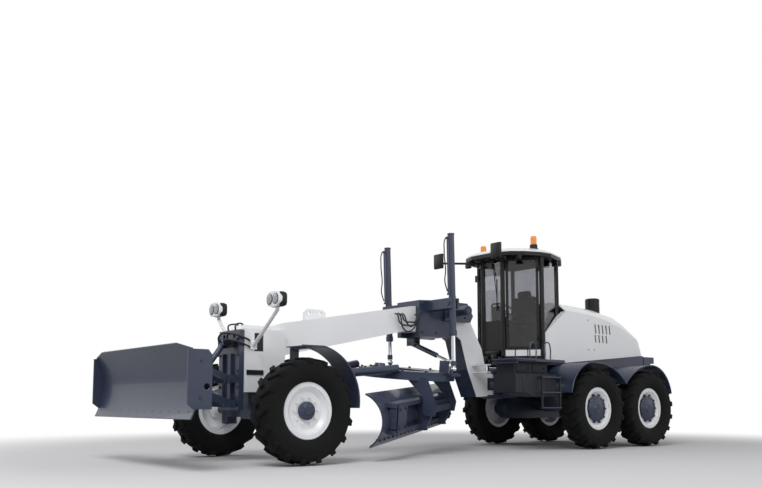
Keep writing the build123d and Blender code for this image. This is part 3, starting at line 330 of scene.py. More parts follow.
def hub_shape(centre, out, radius, cap, bolts):
    """Hub in the middle of a wheel, facing along out: cap holds the two radii of its cap."""
    hub = bmesh.new()
    add_rod(hub, centre + out * 0.059, centre + out * 0.096, radius, sides=64)
    add_rod(hub, centre + out * 0.096, centre + out * 0.107, radius, sides=64, tip=radius - 0.016)
    add_rod(hub, centre + out * 0.107, centre + out * 0.118, cap[0], sides=40, tip=cap[1])
    add_rod(hub, centre + out * 0.118, centre + out * 0.124, 0.014, sides=6)
    for number in range(bolts):
        turn = Matrix.Rotation(2 * pi * number / bolts, 3, "X")
        add_bolt(hub, centre + out * 0.107 + turn @ Vector((0, 0, radius - 0.032)), out, 0.014)
    return hub


def nut_ring(centre, out, radius, depth):
    """Ten stud nuts round a wheel's disc."""
    nuts = bmesh.new()
    for number in range(10):
        turn = Matrix.Rotation(2 * pi * (number + 0.5) / 10, 3, "X")
        spot = centre + out * depth + turn @ Vector((0, 0, radius))
        add_rod(nuts, spot - out * 0.012, spot + out * 0.016, 0.017, sides=6)
        add_rod(nuts, spot + out * 0.010, spot + out * 0.030, 0.009, sides=10)
    return nuts


def ring_shape(centre, side, radius, depth, thickness):
    """Round wire bent into a ring about a wheel's axle."""
    ring = bmesh.new()
    section = (Matrix.Translation((depth * side, 0, radius)) @ Matrix.Rotation(pi / 2, 4, "X"))
    loop = bmesh.ops.create_circle(ring, segments=10, radius=thickness, matrix=section)["verts"]
    edges = list({edge for vert in loop for edge in vert.link_edges})
    bmesh.ops.spin(ring, geom=loop + edges, cent=(0, 0, 0), axis=(1, 0, 0), angle=2 * pi, steps=96,
                   use_merge=True)
    bmesh.ops.remove_doubles(ring, verts=ring.verts, dist=0.0002)
    bmesh.ops.translate(ring, vec=centre, verts=ring.verts)
    return ring


# (name, radius, distance outwards, thickness) of the rings on every rim
rim_rings = (("lock_ring", 0.3262, 0.1135, 0.0055), ("disc_weld", 0.284, 0.096, 0.004))
wheel_names = [f"{row}_{side}" for row in ("front", "middle", "rear") for side in ("left", "right")]
for wheel in wheel_names:
    low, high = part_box(f"tyre_{wheel}")
    centre = (low + high) / 2
    side = 1 if wheel.endswith("left") else -1
    out = Vector((side, 0, 0))
    body = f"wheel_{wheel}"
    tyre = tyre_shape(side)
    bmesh.ops.translate(tyre, vec=centre, verts=tyre.verts)
    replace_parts(finish_piece(f"tyre_with_lugs_{wheel}", tyre, "tyre", body), f"tyre_{wheel}")
    if wheel.startswith("front"):
        finish_piece(f"hub_cover_{wheel}", hub_shape(centre, out, 0.109, (0.052, 0.046), 6), "blue", body)
        finish_piece(f"wheel_nuts_{wheel}", nut_ring(centre, out, 0.160, 0.0585), "white", body)
    else:
        finish_piece(f"hub_cover_{wheel}", hub_shape(centre, out, 0.207, (0.075, 0.068), 12), "blue", body)
        finish_piece(f"wheel_nuts_{wheel}", nut_ring(centre, out, 0.222, 0.074), "blue", body)
    for name, radius, depth, thickness in rim_rings:
        finish_piece(f"{name}_{wheel}", ring_shape(centre, side, radius, depth, thickness), "white", body)

# ---- dozer blade and hitch -------------------------------------------------------------------
# (back, up) points of the dozer blade's face: bottom, middle and top
dozer_face = ((-1.570, 0.553), (-1.480, 0.9615), (-1.610, 1.370))
dozer_bolts = bmesh.new()
edge_bolt_z = 0.628
edge_bolt_count = 12
for number in range(edge_bolt_count):
    x = -1.25 + number * 2.5 / (edge_bolt_count - 1)
    foot = place(x, arc_depth(edge_bolt_z, *dozer_face) - 0.001, edge_bolt_z)
    add_bolt(dozer_bolts, foot, Vector((0, -1, 0.25)), 0.026)
for side in sides:
    for z in (0.78, 1.17):
        add_bolt(dozer_bolts, place(side * 1.375, -1.47, z), Vector((side, 0, 0)), 0.022)
finish_piece("dozer_edge_bolts", dozer_bolts, "blue", "dozer_blade", smooth=False)
dozer_ribs = bmesh.new()
for number in range(7):
    x = (number - 3) * 0.35
    add_block(dozer_ribs, place(x - 0.008, -1.462, 0.83), place(x + 0.008, -1.372, 1.18), 0.003)
add_block(dozer_ribs, place(-1.2, -1.452, 0.96), place(1.2, -1.442, 0.99), 0.002)
finish_piece("dozer_back_ribs", dozer_ribs, "blue", "dozer_blade", smooth=False)

hitch = bmesh.new()
for side in sides:
    for number in range(5):
        add_bolt(hitch, place(side * 0.225, -0.41, 0.72 + number * 0.2), Vector((0, -1, 0)), 0.026)
    add_block(hitch, place(side * 0.095, -0.445, 0.67), place(side * 0.108, -0.409, 1.34), 0.003)
finish_piece("hitch_bolts_and_ribs", hitch, "blue", "front_frame", smooth=False)
valve = bmesh.new()
add_block(valve, place(-0.19, -0.47, 1.42), place(-0.09, -0.409, 1.50), 0.006)
add_block(valve, place(0.09, -0.47, 1.42), place(0.19, -0.409, 1.50), 0.006)
finish_piece("hitch_hose_blocks", valve, "black", "front_frame", smooth=False)
for number, (side, height) in enumerate(((1, 1.60), (1, 1.52), (-1, 1.60))):
    reach = 0.50 + 0.05 * number
    pipe_piece(f"hitch_hose_{number}",
               [place(0.10 if side > 0 else -0.15, -0.465, 1.45), place(0.12, -reach, height - 0.04),
                place(0.20, -reach + 0.02, height - 0.02), place(0.285, -0.42, height - 0.05),
                place(0.285, -0.30, height - 0.09), place(0.252, -0.26, height - 0.10)],
               0.012, "hose", "front_frame")

# ---- head, beam, legs and saddle -------------------------------------------------------------
trunnion_x, trunnion_y, trunnion_z = 0.72, 2.78, 2.15
beam_trim = bmesh.new()
for side in sides:
    add_block(beam_trim, place(side * 0.236, -0.19, 1.372), place(side * 0.239, -0.06, 1.598))
    add_block(beam_trim, place(side * 0.250, -0.30, 1.075), place(side * 0.262, -0.06, 1.135), 0.004)
finish_piece("head_recess_covers", beam_trim, "black", "front_frame", smooth=False)
# slate sheets over the white front faces of the legs: painted shade where those faces turn down and away from
# the light
painted_leg_shade = bmesh.new()
# (back, up) points down the front of the legs
leg_outline = [(3.306, 1.787), (3.473, 1.687), (3.617, 1.230), (3.805, 0.815)]
half_leg = 0.168
shade_sheet_depth = 0.004
for (y0, z0), (y1, z1) in zip(leg_outline, leg_outline[1:]):
    corners = ((-half_leg, y0, z0), (half_leg, y0, z0), (half_leg, y1, z1), (-half_leg, y1, z1))
    face = painted_leg_shade.faces.new([painted_leg_shade.verts.new(place(*corner)) for corner in corners])
    thicken(painted_leg_shade, face, Vector((0, z1 - z0, y0 - y1)).normalized() * shade_sheet_depth)
finish_piece("leg_front_painted_shade", painted_leg_shade, "blue", "front_frame", smooth=False)
leg_bolts = bmesh.new()
(knee_y, knee_z), (foot_y, foot_z) = leg_outline[2:]
for number in range(4):
    for x in (-0.12, 0.12):
        z = 0.90 + 0.09 * number
        y = knee_y + (knee_z - z) * (foot_y - knee_y) / (knee_z - foot_z)
        add_bolt(leg_bolts, place(x, y - shade_sheet_depth, z), Vector((0, -1, -0.4)), 0.022)
finish_piece("leg_bolts", leg_bolts, "blue", "front_frame", smooth=False)

# caps on the saddle's cross shaft, bolts of its side plates and heads of the trunnion pins
saddle_trim = bmesh.new()
for side in sides:
    shaft_end = place(side * 0.640, 3.18, 2.08)
    cap_face = place(side * 0.655, 3.18, 2.08)
    out = Vector((side, 0, 0))
    add_rod(saddle_trim, shaft_end, cap_face, 0.062, sides=32)
    for number in range(6):
        turn = Matrix.Rotation(2 * pi * number / 6, 3, "X")
        add_bolt(saddle_trim, cap_face + turn @ Vector((0, 0, 0.045)), out, 0.016)
    for y, z in ((2.62, 1.76), (2.62, 2.17), (3.19, 1.76), (2.90, 1.76), (3.45, 2.02), (3.45, 2.17)):
        add_bolt(saddle_trim, place(side * (0.30 if y > 3.3 else 0.25), y, z), out, 0.03)
    for face in (-1, 1):
        add_rod(saddle_trim, place(side * trunnion_x, trunnion_y + face * 0.0865, trunnion_z),
                place(side * trunnion_x, trunnion_y + face * 0.1, trunnion_z), 0.035, sides=24)
finish_piece("saddle_caps_and_bolts", saddle_trim, "blue", "front_frame")
for side, word in side_names.items():
    for number, (sag, start, end) in enumerate(((0.13, 2.30, 2.53), (0.20, 2.22, 2.55))):
        pipe_piece(f"saddle_hose_{number}_{word}",
                   [place(side * 0.171, start, 2.02), place(side * 0.215, start, 1.99),
                    place(side * 0.235, start + 0.05, 1.99 - sag),
                    place(side * 0.240, (start + end) / 2, 1.96 - sag),
                    place(side * 0.245, end - 0.02, 2.02 - sag * 0.5), place(side * 0.262, end + 0.04, 2.07)],
                   0.010, "hose", "front_frame")

# (across, back, up) points of the hoses held by the front frame
hose_lines = {
    "over_hitch": [(0.060, -0.250, 1.701), (0.064, -0.262, 1.718), (0.080, -0.320, 1.722),
                   (0.092, -0.372, 1.700), (0.090, -0.375, 1.632)],
    "short_loop": [(0.222, 2.200, 2.000), (0.268, 2.205, 1.985), (0.282, 2.245, 1.905), (0.282, 2.365, 1.888),
                   (0.282, 2.485, 1.915), (0.268, 2.525, 1.995), (0.222, 2.530, 2.010)],
    "long_loop": [(0.222, 2.120, 2.000), (0.266, 2.125, 1.985), (0.282, 2.165, 1.865), (0.282, 2.310, 1.838),
                  (0.282, 2.450, 1.870), (0.266, 2.490, 1.995), (0.222, 2.495, 2.010)],
}
hose_radius = 0.011
for side, side_name in side_names.items():
    for word, line in hose_lines.items():
        points = [place(side * x, y, z) for x, y, z in line]
        piece = pipe_piece(f"hose_{word}_{side_name}", points, hose_radius, "hose", "front_frame")
        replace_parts(piece, "hoses")

# ---- lamps -----------------------------------------------------------------------------------
lamp_low, lamp_high = 1.885, 2.065
lamp_front_y = -0.226
housings = bmesh.new()
bezels = bmesh.new()
lenses = bmesh.new()
for side in sides:
    low = place(side * 0.613, lamp_front_y, lamp_low - 0.002)
    high = place(side * 0.887, -0.098, lamp_high + 0.002)
    add_block(housings, low, high, 0.045)
    for x in (0.683, 0.817):
        back, rim, step, tip = [place(side * x, lamp_front_y - ahead, (lamp_low + lamp_high) / 2)
                                for ahead in (0.0, 0.020, 0.024, 0.027)]
        add_rod(bezels, back, rim, 0.066, sides=40, tip=0.064)
        add_rod(lenses, rim, step, 0.058, sides=40, tip=0.050)
        add_rod(lenses, step, tip, 0.050, sides=40, tip=0.020)
finish_piece("headlamp_housings", housings, "black", "front_frame")
finish_piece("headlamp_bezels", bezels, "black", "front_frame")
finish_piece("headlamp_lenses", lenses, "lamp", "front_frame")

# ---- lift cylinders --------------------------------------------------------------------------
# where the rods end over the drawbar, which hangs lower on the left
rod_feet = (("left", 1, place(0.7401, trunnion_y, 1.2035)), ("right", -1, place(-0.6920, trunnion_y, 1.3540)))
# (back, up) points of a lift cylinder's hose, from the barrel's top
lift_hose_bends = ((-0.062, 0.0), (-0.110, -0.03), (-0.135, -0.22), (-0.110, -0.50), (-0.125, -0.66),
                   (-0.075, -0.80))
for name, side, foot in rod_feet:
    trunnion = place(side * trunnion_x, trunnion_y, trunnion_z)
    down = (foot - trunnion).normalized()
    collars = bmesh.new()
    for start, length, radius in ((0.462, -0.070, 0.0560), (-1.005, -0.020, 0.0520), (0.110, -0.220, 0.0525)):
        add_rod(collars, trunnion + down * start, trunnion + down * (start + length), radius, sides=36)
    finish_piece(f"lift_barrel_collars_{name}", collars, "blue", f"lift_barrel_{name}")
    top = trunnion - down * 0.97
    pipe_piece(f"lift_hose_{name}", [top + Vector((0, y, z)) for y, z in lift_hose_bends], 0.009, "hose",
               f"lift_barrel_{name}")
    seal = bmesh.new()
    add_rod(seal, foot - down * 0.115, foot - down * 0.045, 0.040, sides=28)
    finish_piece(f"lift_rod_end_{name}", seal, "blue", f"lift_rod_{name}")

# ---- drawbar, circle and moldboard -----------------------------------------------------------
ball = place(0, 0.42, 1.05)
bank_angle = radians(6)
bank = Matrix.Translation(ball) @ Matrix.Rotation(bank_angle, 4, "Y") @ Matrix.Translation(-ball)
blade_turn = radians(57)
along = Vector((-cos(blade_turn), sin(blade_turn), 0))
behind = Vector((sin(blade_turn), cos(blade_turn), 0))
circle_middle = place(0, 2.5, 0)
blade_ahead = 0.197   # the cutting edge lies this far ahead of the circle's middle
edge_line = circle_middle + behind * blade_ahead
# from (towards the right end, back, up) of the moldboard to the machine
blade_frame = bank @ Matrix.Translation(edge_line) @ Matrix((
    (along.x, behind.x, 0, 0), (along.y, behind.y, 0, 0), (0, 0, 1, 0), (0, 0, 0, 1)))
edge_z = 0.305
board_face = ((0.0, edge_z), (0.151, edge_z + 0.33), (-0.107, edge_z + 0.66))
left_end, right_end = -2.0, 1.6


def turned(shape, name, slot, body, frame_matrix, smooth=False):
    """Piece drawn in another frame and put in its place."""
    bmesh.ops.transform(shape, matrix=frame_matrix, verts=shape.verts)
    return finish_piece(name, shape, slot, body, smooth)


edge_plate = bmesh.new()
steps = [edge_z - 0.006, edge_z + 0.05, edge_z + 0.10, edge_z + 0.145]
profile = [(arc_depth(max(z, edge_z), *board_face) - 0.0215, z) for z in steps]
for (b0, z0), (b1, z1) in zip(profile, profile[1:]):
    corners = ((left_end, b0, z0), (right_end, b0, z0), (right_end, b1, z1), (left_end, b1, z1))
    edge_plate.faces.new([edge_plate.verts.new(corner) for corner in corners])
bmesh.ops.remove_doubles(edge_plate, verts=edge_plate.verts, dist=merge_distance)
bmesh.ops.solidify(edge_plate, geom=edge_plate.faces[:], thickness=0.012)
turned(edge_plate, "cutting_edge", "steel", "moldboard", blade_frame)
edge_bolts = bmesh.new()
board_bolt_z = edge_z + 0.085
board_bolt_count = 20
bolt_depth = arc_depth(board_bolt_z, *board_face)
for number in range(board_bolt_count):
    s = left_end + 0.1 + number * (right_end - left_end - 0.2) / (board_bolt_count - 1)
    add_bolt(edge_bolts, Vector((s, bolt_depth - 0.033, board_bolt_z)), Vector((0, -1, 0)), 0.024)
    add_bolt(edge_bolts, Vector((s, bolt_depth + 0.001, board_bolt_z)), Vector((0, 1, 0)), 0.03)
turned(edge_bolts, "cutting_edge_bolts", "blue", "moldboard", blade_frame)
# ribs and plates behind the moldboard, clear of the bracket over its whole side shift
board_back = bmesh.new()
for s in (-1.72, -1.40, 0.80, 1.12):
    for z0, z1 in ((0.215, 0.33), (0.33, 0.485)):
        add_block(board_back, Vector((s - 0.008, 0.13, edge_z + z0)), Vector((s + 0.008, 0.232, edge_z + z1)),
                  0.003)
for start, end in ((-1.70, -1.34), (0.84, 1.12)):
    add_block(board_back, Vector((start, 0.236, edge_z + 0.17)), Vector((end, 0.252, edge_z + 0.53)), 0.006)
    for s in (start + 0.06, end - 0.06):
        for z in (edge_z + 0.23, edge_z + 0.47):
            add_bolt(board_back, Vector((s, 0.252, z)), Vector((0, 1, 0)), 0.034)
turned(board_back, "moldboard_back_plates", "blue", "moldboard", blade_frame)

shift_ram = bmesh.new()
ram_z = edge_z + 0.46
add_rod(shift_ram, Vector((-0.55, 0.300, ram_z)), Vector((0.50, 0.300, ram_z)), 0.040, sides=28)
turned(shift_ram, "side_shift_ram", "blue", "blade_bracket", blade_frame, True)
shoe_bolts = bmesh.new()
for s in (-0.535, 0.535):
    for z in (edge_z + 0.13, edge_z + 0.25, edge_z + 0.46, edge_z + 0.57):
        add_bolt(shoe_bolts, Vector((s, 0.31 if z < edge_z + 0.3 else 0.33, z)), Vector((0, 1, 0)), 0.026)
turned(shoe_bolts, "blade_shoe_bolts", "blue", "blade_bracket", blade_frame)

teeth = bmesh.new()
tooth_count = 64
for number in range(tooth_count):
    turn = Matrix.Translation(circle_middle) @ Matrix.Rotation(2 * pi * number / tooth_count, 4, "Z")
    add_block(teeth, Vector((0.562, -0.013, 1.115)), Vector((0.594, 0.013, 1.165)), 0, turn)
turned(teeth, "circle_teeth", "steel", "circle", bank)
plate_bolts = bmesh.new()
for number in range(12):
    turn = Matrix.Rotation(2 * pi * (number + 0.5) / 12, 3, "Z")
    spot = circle_middle + Vector((0, 0, 1.22)) + turn @ Vector((0.655, 0, 0))
    # none under the cross plate of the lift cylinders
    if abs(spot.y - place(0, trunnion_y, 0).y) > 0.12:
        add_bolt(plate_bolts, spot, Vector((0, 0, 1)), 0.034)
turned(plate_bolts, "circle_shoe_bolts", "blue", "drawbar", bank)
drive = bmesh.new()
spot = place(0, 2.0, 0)
add_rod(drive, spot + Vector((0, 0, 1.221)), spot + Vector((0, 0, 1.262)), 0.115, sides=40)
add_rod(drive, spot + Vector((0, 0, 1.262)), spot + Vector((0, 0, 1.300)), 0.085, sides=40, tip=0.07)
turned(drive, "circle_drive", "blue", "drawbar", bank, True)
ball_cap = bmesh.new()
for number in range(8):
    turn = Matrix.Rotation(2 * pi * number / 8, 3, "Y")
    add_bolt(ball_cap, place(0, 0.602, 1.05) + turn @ Vector((0, 0, 0.062)), Vector((0, 1, 0)), 0.02)
turned(ball_cap, "ball_cap_bolts", "blue", "drawbar", bank)

# ---- cab -------------------------------------------------------------------------------------
# (across, back) of the pillars at the front and rear edge of the left door
a_pillar = Vector((0.215, 4.385))
b_pillar = Vector((0.690, 4.780))
door_line = b_pillar - a_pillar
door_run = door_line.normalized()
door_out = Vector((door_run.y, -door_run.x))


def by_door(side, distance, out, z):
    """Point at a distance along the door from the front pillar, and so far outside its plane."""
    spot = a_pillar + door_run * distance + door_out * out
    return place(side * spot.x, spot.y, z)


sill_bottom, sill_height = 1.468, 0.098
sill_ends = (0.01, door_line.length - 0.02)
sill = bmesh.new()
sill_seams = bmesh.new()
for side in sides:
    corners = [by_door(side, distance, out, sill_bottom) for distance, out in (
        (sill_ends[0], 0.003), (sill_ends[1], 0.003), (sill_ends[1], 0.016), (sill_ends[0], 0.016))]
    face = sill.faces.new([sill.verts.new(corner) for corner in corners])
    thicken(sill, face, Vector((0, 0, sill_height)))
    for share in (0.30, 0.62):
        low = by_door(side, door_line.length * share, 0.018, sill_bottom) - Vector((0.006, 0.006, 0))
        add_block(sill_seams, low, low + Vector((0.012, 0.012, sill_height + 0.001)))
finish_piece("cab_sill_panels", sill, "white", "rear_frame", smooth=False)
finish_piece("cab_sill_seams", sill_seams, "black", "rear_frame", smooth=False)

for name, side in (("left", 1), ("right", -1)):
    handle = bmesh.new()
    for z in (1.98, 2.20):
        add_rod(handle, by_door(side, 0.075, 0.018, z), by_door(side, 0.075, 0.062, z), 0.009, sides=12)
    add_rod(handle, by_door(side, 0.075, 0.062, 1.97), by_door(side, 0.075, 0.062, 2.21), 0.011, sides=12)
    finish_piece(f"door_handle_{name}", handle, "black", f"door_{name}")
    # inner grab bar low on the door
    bar = bmesh.new()
    add_rod(bar, by_door(side, 0.10, -0.03, 2.02), by_door(side, 0.50, -0.03, 2.02), 0.012, sides=12)
    finish_piece(f"door_bar_{name}", bar, "black", f"door_{name}")

wiper = bmesh.new()
add_rod(wiper, place(0.02, 4.372, 3.02), place(0.10, 4.362, 2.46), 0.007, sides=10)
add_block(wiper, place(0.094, 4.364, 2.20), place(0.108, 4.374, 2.72), 0.002)
add_block(wiper, place(-0.03, 4.345, 3.00), place(0.07, 4.372, 3.055), 0.008)
finish_piece("front_wiper", wiper, "black", "rear_frame")

interior = bmesh.new()
add_block(interior, place(-0.43, 5.30, 1.571), place(0.43, 5.345, 2.14), 0.012)
for side in sides:
    add_block(interior, place(side * 0.30, 4.82, 1.571), place(side * 0.40, 5.26, 2.06), 0.02)
    add_block(interior, place(side * 0.30, 4.80, 2.06), place(side * 0.38, 5.08, 2.10), 0.015)
    add_rod(interior, place(side * 0.33, 4.86, 2.10), place(side * 0.32, 4.84, 2.24), 0.012, sides=12)
    add_rod(interior, place(side * 0.32, 4.84, 2.24), place(side * 0.32, 4.84, 2.28), 0.022, sides=16)
add_block(interior, place(-0.42, 4.55, 3.00), place(0.42, 5.34, 3.058), 0.02)
add_block(interior, place(-0.12, 4.46, 2.05), place(0.12, 4.50, 2.30), 0.02)
finish_piece("cab_interior_trim", interior, "plastic", "rear_frame")

seat_shape = bmesh.new()
add_block(seat_shape, place(-0.235, 4.725, 1.90), place(0.235, 5.15, 1.992), 0.045)
add_block(seat_shape, place(-0.235, 5.085, 1.96), place(0.235, 5.225, 2.50), 0.05)
add_block(seat_shape, place(-0.13, 5.10, 2.49), place(0.13, 5.20, 2.60), 0.04)
add_block(seat_shape, place(-0.15, 4.80, 1.5705), place(0.15, 5.10, 1.90), 0.02)
for side in sides:
    add_block(seat_shape, place(side * 0.205, 4.85, 2.06), place(side * 0.27, 5.12, 2.10), 0.02)
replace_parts(finish_piece("driver_seat", seat_shape, "fabric", "rear_frame"), "seat")

# valves, boxes and hoses on the frame in front of the cab
valve_boxes = bmesh.new()
for low, high in (((-0.20, 4.290, 1.385), (-0.04, 4.375, 1.475)),
                  ((0.02, 4.290, 1.390), (0.13, 4.375, 1.500)),
                  ((0.15, 4.310, 1.385), (0.22, 4.375, 1.455)),
                  ((-0.24, 4.300, 1.300), (0.24, 4.360, 1.345)),
                  ((-0.16, 4.345, 1.500), (0.16, 4.385, 1.560))):
    add_block(valve_boxes, place(*low), place(*high), 0.008)
finish_piece("valve_boxes", valve_boxes, "black", "rear_frame")
carrier = bmesh.new()
for x in (-0.18, 0.0, 0.18):
    add_block(carrier, place(x - 0.015, 4.33, 1.28), place(x + 0.015, 4.45, 1.39), 0.003)
finish_piece("valve_carrier", carrier, "black", "rear_frame", smooth=False)
for number in range(5):
    x = -0.20 + number * 0.10
    pipe_piece(f"valve_hose_{number}",
               [place(x, 4.30, 1.42), place(x + 0.02, 4.262, 1.40), place(x * 0.9, 4.258, 1.34),
                place(x * 0.7, 4.285, 1.31), place(x * 0.6, 4.35, 1.31)], 0.011, "hose", "rear_frame")

mirrors = bmesh.new()
for side in sides:
    add_block(mirrors, place(side * 0.562, 3.8045, 2.942), place(side * 0.728, 3.8075, 3.158), 0)
finish_piece("mirror_glass", mirrors, "chrome", "rear_frame", smooth=False)
shells = bmesh.new()
for side in sides:
    add_block(shells, place(side * 0.546, 3.752, 2.926), place(side * 0.744, 3.804, 3.174), 0.022)
finish_piece("mirror_shells", shells, "black", "rear_frame")

beacon_trim = bmesh.new()
for side in sides:
    spot = place(side * 0.56, 4.756, 3.1905)
    flange_top = spot + Vector((0, 0, 0.012))
    add_rod(beacon_trim, spot, flange_top, 0.074, sides=32)
    add_rod(beacon_trim, flange_top, spot + Vector((0, 0, 0.076)), 0.0625, sides=32, tip=0.0615)
finish_piece("beacon_bases", beacon_trim, "black", "rear_frame")

light_trim = bmesh.new()
light_lens = bmesh.new()
for side in sides:
    add_block(light_trim, place(side * 0.587, 5.157, 2.947), place(side * 0.713, 5.255, 3.0585), 0.012)
    add_rod(light_lens, place(side * 0.65, 5.255, 3.002), place(side * 0.65, 5.262, 3.002), 0.045, sides=28)
    for x in (0.36, 0.56):
        add_block(light_trim, place(side * (x - 0.05), 4.235 + (x - 0.36) * 0.6, 2.985),
                  place(side * (x + 0.05), 4.300 + (x - 0.36) * 0.6, 3.058), 0.012)
finish_piece("work_light_shells", light_trim, "black", "rear_frame")
finish_piece("work_light_lenses", light_lens, "lamp", "rear_frame")

vent = bmesh.new()
add_block(vent, place(-0.30, 4.75, 3.186), place(0.30, 5.25, 3.206), 0.012)
finish_piece("roof_vent", vent, "white", "rear_frame")

# ---- hood, decks, tanks and steps ------------------------------------------------------------
screens = bmesh.new()
for side in sides:
    add_block(screens, place(side * 0.555, 6.20, 1.72), place(side * 0.552, 6.55, 2.09))
    add_block(screens, place(side * 0.520, 6.50, 1.72), place(side * 0.517, 6.83, 2.09))
finish_piece("hood_slot_screens", screens, "black", "rear_frame", smooth=False)
latches = bmesh.new()
for side in sides:
    for y, z, half in ((6.05, 1.62, 0.612), (6.22, 1.62, 0.604), (6.05, 2.12, 0.612)):
        add_rod(latches, place(side * (half - 0.004), y, z), place(side * (half + 0.005), y, z), 0.012,
                sides=20)
finish_piece("hood_latches", latches, "steel", "rear_frame")
cap_ring = bmesh.new()
add_rod(cap_ring, place(0, 7.0, 2.42), place(0, 7.0, 2.436), 0.1305, sides=48)
finish_piece("exhaust_cap_band", cap_ring, "black", "rear_frame")

# raised bars of the decks' tread, in staggered rows
tread_row, tread_pitch = 0.06, 0.09
deck_trim = bmesh.new()
for x0, x1, y0, y1 in ((0.66, 1.115, 3.71, 4.75), (-1.115, -0.70, 4.62, 4.76)):
    for row in range(int((y1 - y0) / tread_row)):
        y = y0 + row * tread_row
        for column in range(int((x1 - x0) / tread_pitch)):
            x = x0 + 0.03 + column * tread_pitch + 0.04 * (row % 2)
            add_block(deck_trim, place(x, y + 0.01, 1.3795), place(x + 0.034, y + 0.018, 1.3825))
finish_piece("deck_treads", deck_trim, "blue", "rear_frame", smooth=False)
deck_rail_bends = ((0.0, 1.38), (0.0, 1.60), (0.03, 1.655), (0.10, 1.655), (0.13, 1.60), (0.13, 1.38))
for word, x, y in (("left_front", 0.80, 4.35), ("left_rear", 0.86, 4.62), ("right", -0.86, 4.62)):
    points = [place(x, y + further, z) for further, z in deck_rail_bends]
    pipe_piece(f"deck_rail_{word}", points, 0.010, "blue", "rear_frame")
step_bars = bmesh.new()
for z in (1.315, 1.365):
    add_rod(step_bars, place(0.62, 3.688, z), place(1.13, 3.688, z), 0.014, sides=16)
add_rod(step_bars, place(1.126, 3.66, 1.365), place(1.126, 4.10, 1.365), 0.014, sides=16)
finish_piece("front_step_bars", step_bars, "blue", "rear_frame")
# straps of the left tank, then the box doors with their latches
tank_trim = bmesh.new()
for y, bottom in ((3.80, 0.875), (4.36, 0.815)):
    add_block(tank_trim, place(0.685, y, bottom), place(1.1245, y + 0.045, 1.1545), 0.003)
for y in (3.80, 4.16):
    add_block(tank_trim, place(1.001, y, 1.17), place(1.008, y + 0.30, 1.32), 0.004)
for y in (4.06, 4.42):
    add_rod(tank_trim, place(1.008, y, 1.245), place(1.020, y, 1.245), 0.012, sides=16)
add_block(tank_trim, place(-1.124, 4.64, 1.15), place(-1.119, 4.86, 1.31), 0.002)
# straps and doors take the same painted shade as the tanks
finish_piece("tank_straps_and_doors", tank_trim, "blue", "rear_frame", material=tank_painted_shade)
filler = bmesh.new()
add_rod(filler, place(0.84, 3.90, 1.38), place(0.84, 3.90, 1.42), 0.05, sides=28)
finish_piece("tank_filler_cap", filler, "black", "rear_frame")
treads = bmesh.new()
for z in (0.640, 0.868, 1.096):
    add_block(treads, place(1.150, 4.150, z + 0.004), place(1.205, 4.584, z + 0.020), 0.003)
finish_piece("ladder_treads", treads, "blue", "rear_frame", smooth=False)

# louvres and bolts of the counterweight
rear_trim = bmesh.new()
for number in range(6):
    z = 0.90 + number * 0.08
    add_block(rear_trim, place(-0.40, 7.948, z), place(0.40, 7.962, z + 0.03), 0.004)
for side in sides:
    add_bolt(rear_trim, place(side * 0.47, 7.95, 1.36), Vector((0, 1, 0)), 0.04)
    add_bolt(rear_trim, place(side * 0.47, 7.95, 0.86), Vector((0, 1, 0)), 0.04)
finish_piece("counterweight_trim", rear_trim, "blue", "rear_frame")
tail = bmesh.new()
for side in sides:
    add_block(tail, place(side * 0.40, 8.056, 1.475), place(side * 0.52, 8.068, 1.525), 0.005)
finish_piece("tail_lamps", tail, "amber", "rear_frame", material=tail_lens)

# rolled edges of the fenders; every second (back, up) point is the middle of an arc
fender_arcs = [(4.840, 0.885), (4.975, 1.175), (5.505, 1.356), (5.930, 1.270), (6.250, 1.045),
               (6.560, 1.265), (6.950, 1.356), (7.420, 1.170), (7.560, 0.885)]

front_fender_flat = [(-0.130, 1.395), (0.100, 1.395)]
front_fender_arc = [(0.180, 1.395), (0.585, 1.135), (0.705, 0.664)]
rear_edge_x, front_edge_x = 1.198, 1.238
edge_radius = 0.009
for side, word in side_names.items():
    for number in range(len(fender_arcs) // 2):
        line = arc_points(*fender_arcs[2 * number:2 * number + 3], 16)
        pipe_piece(f"rear_fender_edge_{number}_{word}", [place(side * rear_edge_x, y, z) for y, z in line],
                   edge_radius, "blue", "rear_frame", soft=False)
    line = front_fender_flat + arc_points(*front_fender_arc, 18)
    pipe_piece(f"front_fender_edge_{word}", [place(side * front_edge_x, y, z) for y, z in line], edge_radius,
               "blue", f"knuckle_{word}", soft=False)

# ---- floor, light and camera -----------------------------------------------------------------
floor_mesh = bmesh.new()
bmesh.ops.create_grid(floor_mesh, x_segments=1, y_segments=1, size=200)
floor_data = bpy.data.meshes.new("studio_floor")
floor_mesh.to_mesh(floor_data)
floor_mesh.free()
floor = bpy.data.objects.new("studio_floor", floor_data)
floor.location.z = -0.001
bpy.context.scene.collection.objects.link(floor)
floor_material = bpy.data.materials.new("pale_floor")
floor_material.use_nodes = True
tree = floor_material.node_tree
floor_shader = tree.nodes["Principled BSDF"]
floor_shader.inputs["Base Color"].default_value = colour("d9d9db")
floor_shader.inputs["Roughness"].default_value = 0.9
floor_shader.inputs["Specular IOR Level"].default_value = 0.0
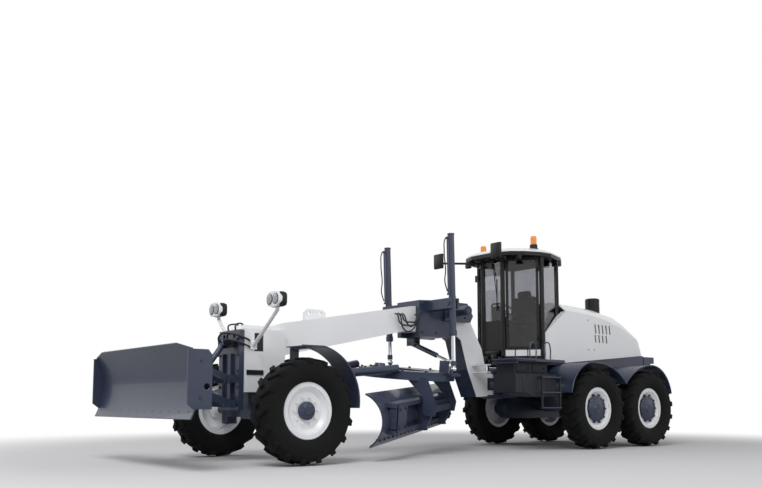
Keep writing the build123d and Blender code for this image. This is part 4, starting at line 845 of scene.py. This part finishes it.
# the paper fades into plain white away from the machine, and keeps the machine's shadow
where = add_node(tree, "ShaderNodeTexCoord")
distance = add_node(tree, "ShaderNodeVectorMath", {"operation": "LENGTH"},
                    {"Vector": where.outputs["Object"]})
fade_start, fade_end = 5.5, 11.0
fade = add_node(tree, "ShaderNodeMapRange",
                {"From Min": fade_start, "From Max": fade_end, "interpolation_type": "SMOOTHSTEP"},
                {"Value": distance.outputs["Value"]})
path = add_node(tree, "ShaderNodeLightPath")
seen = add_node(tree, "ShaderNodeMath", {"operation": "MULTIPLY"})
tree.links.new(fade.outputs["Result"], seen.inputs[0])
tree.links.new(path.outputs["Is Camera Ray"], seen.inputs[1])
white = add_node(tree, "ShaderNodeEmission", {"Strength": 1.0, "Color": (1, 1, 1, 1)})
both = add_node(tree, "ShaderNodeMixShader", {}, {"Fac": seen.outputs[0]})
tree.links.new(floor_shader.outputs["BSDF"], both.inputs[1])
tree.links.new(white.outputs["Emission"], both.inputs[2])
tree.links.new(both.outputs["Shader"], tree.nodes["Material Output"].inputs["Surface"])
floor.data.materials.append(floor_material)

world = bpy.data.worlds.new("studio_sky")
bpy.context.scene.world = world
world.use_nodes = True
tree = world.node_tree
# white behind the machine, also where metal and glass show it, and a plain light on the machine
sky = tree.nodes["Background"]
sky.inputs["Color"].default_value = (1, 1, 1, 1)
path = add_node(tree, "ShaderNodeLightPath")
seen = add_node(tree, "ShaderNodeMath", {"operation": "MAXIMUM"})
tree.links.new(path.outputs["Is Camera Ray"], seen.inputs[0])
tree.links.new(path.outputs["Is Glossy Ray"], seen.inputs[1])
through = add_node(tree, "ShaderNodeMath", {"operation": "MAXIMUM"})
tree.links.new(seen.outputs[0], through.inputs[0])
tree.links.new(path.outputs["Is Transmission Ray"], through.inputs[1])
sky_light = 0.42
strength = add_node(tree, "ShaderNodeMapRange", {"To Min": sky_light, "To Max": 1.0},
                    {"Value": through.outputs[0]})
tree.links.new(strength.outputs["Result"], sky.inputs["Strength"])

# (name, place, watts, width) of the softboxes
softboxes = (("key", (7, -10, 12), 1150, 7), ("side", (13, 3, 6), 260, 8), ("far", (-10, -6, 8), 260, 8))
for name, spot, power, size in softboxes:
    lamp = bpy.data.lights.new(name, "AREA")
    lamp.energy = power
    lamp.size = size
    holder = bpy.data.objects.new(name, lamp)
    holder.location = spot
    holder.rotation_euler = (Vector((0, 0, 1.2)) - Vector(spot)).to_track_quat("-Z", "Y").to_euler()
    bpy.context.scene.collection.objects.link(holder)

camera_data = bpy.data.cameras.new("camera")
camera = bpy.data.objects.new("camera", camera_data)
bpy.context.scene.collection.objects.link(camera)
bpy.context.scene.camera = camera
camera_yaw = radians(51.21)
camera_tilt = radians(5.766)
camera_data.lens = 38.95
camera_data.shift_y = 0.0984
camera.location = (9.261, -5.403 + front_axle_y, 0.735)
camera.rotation_euler = (pi / 2 + camera_tilt, 0, camera_yaw)
bpy.context.scene.view_settings.view_transform = "Standard"
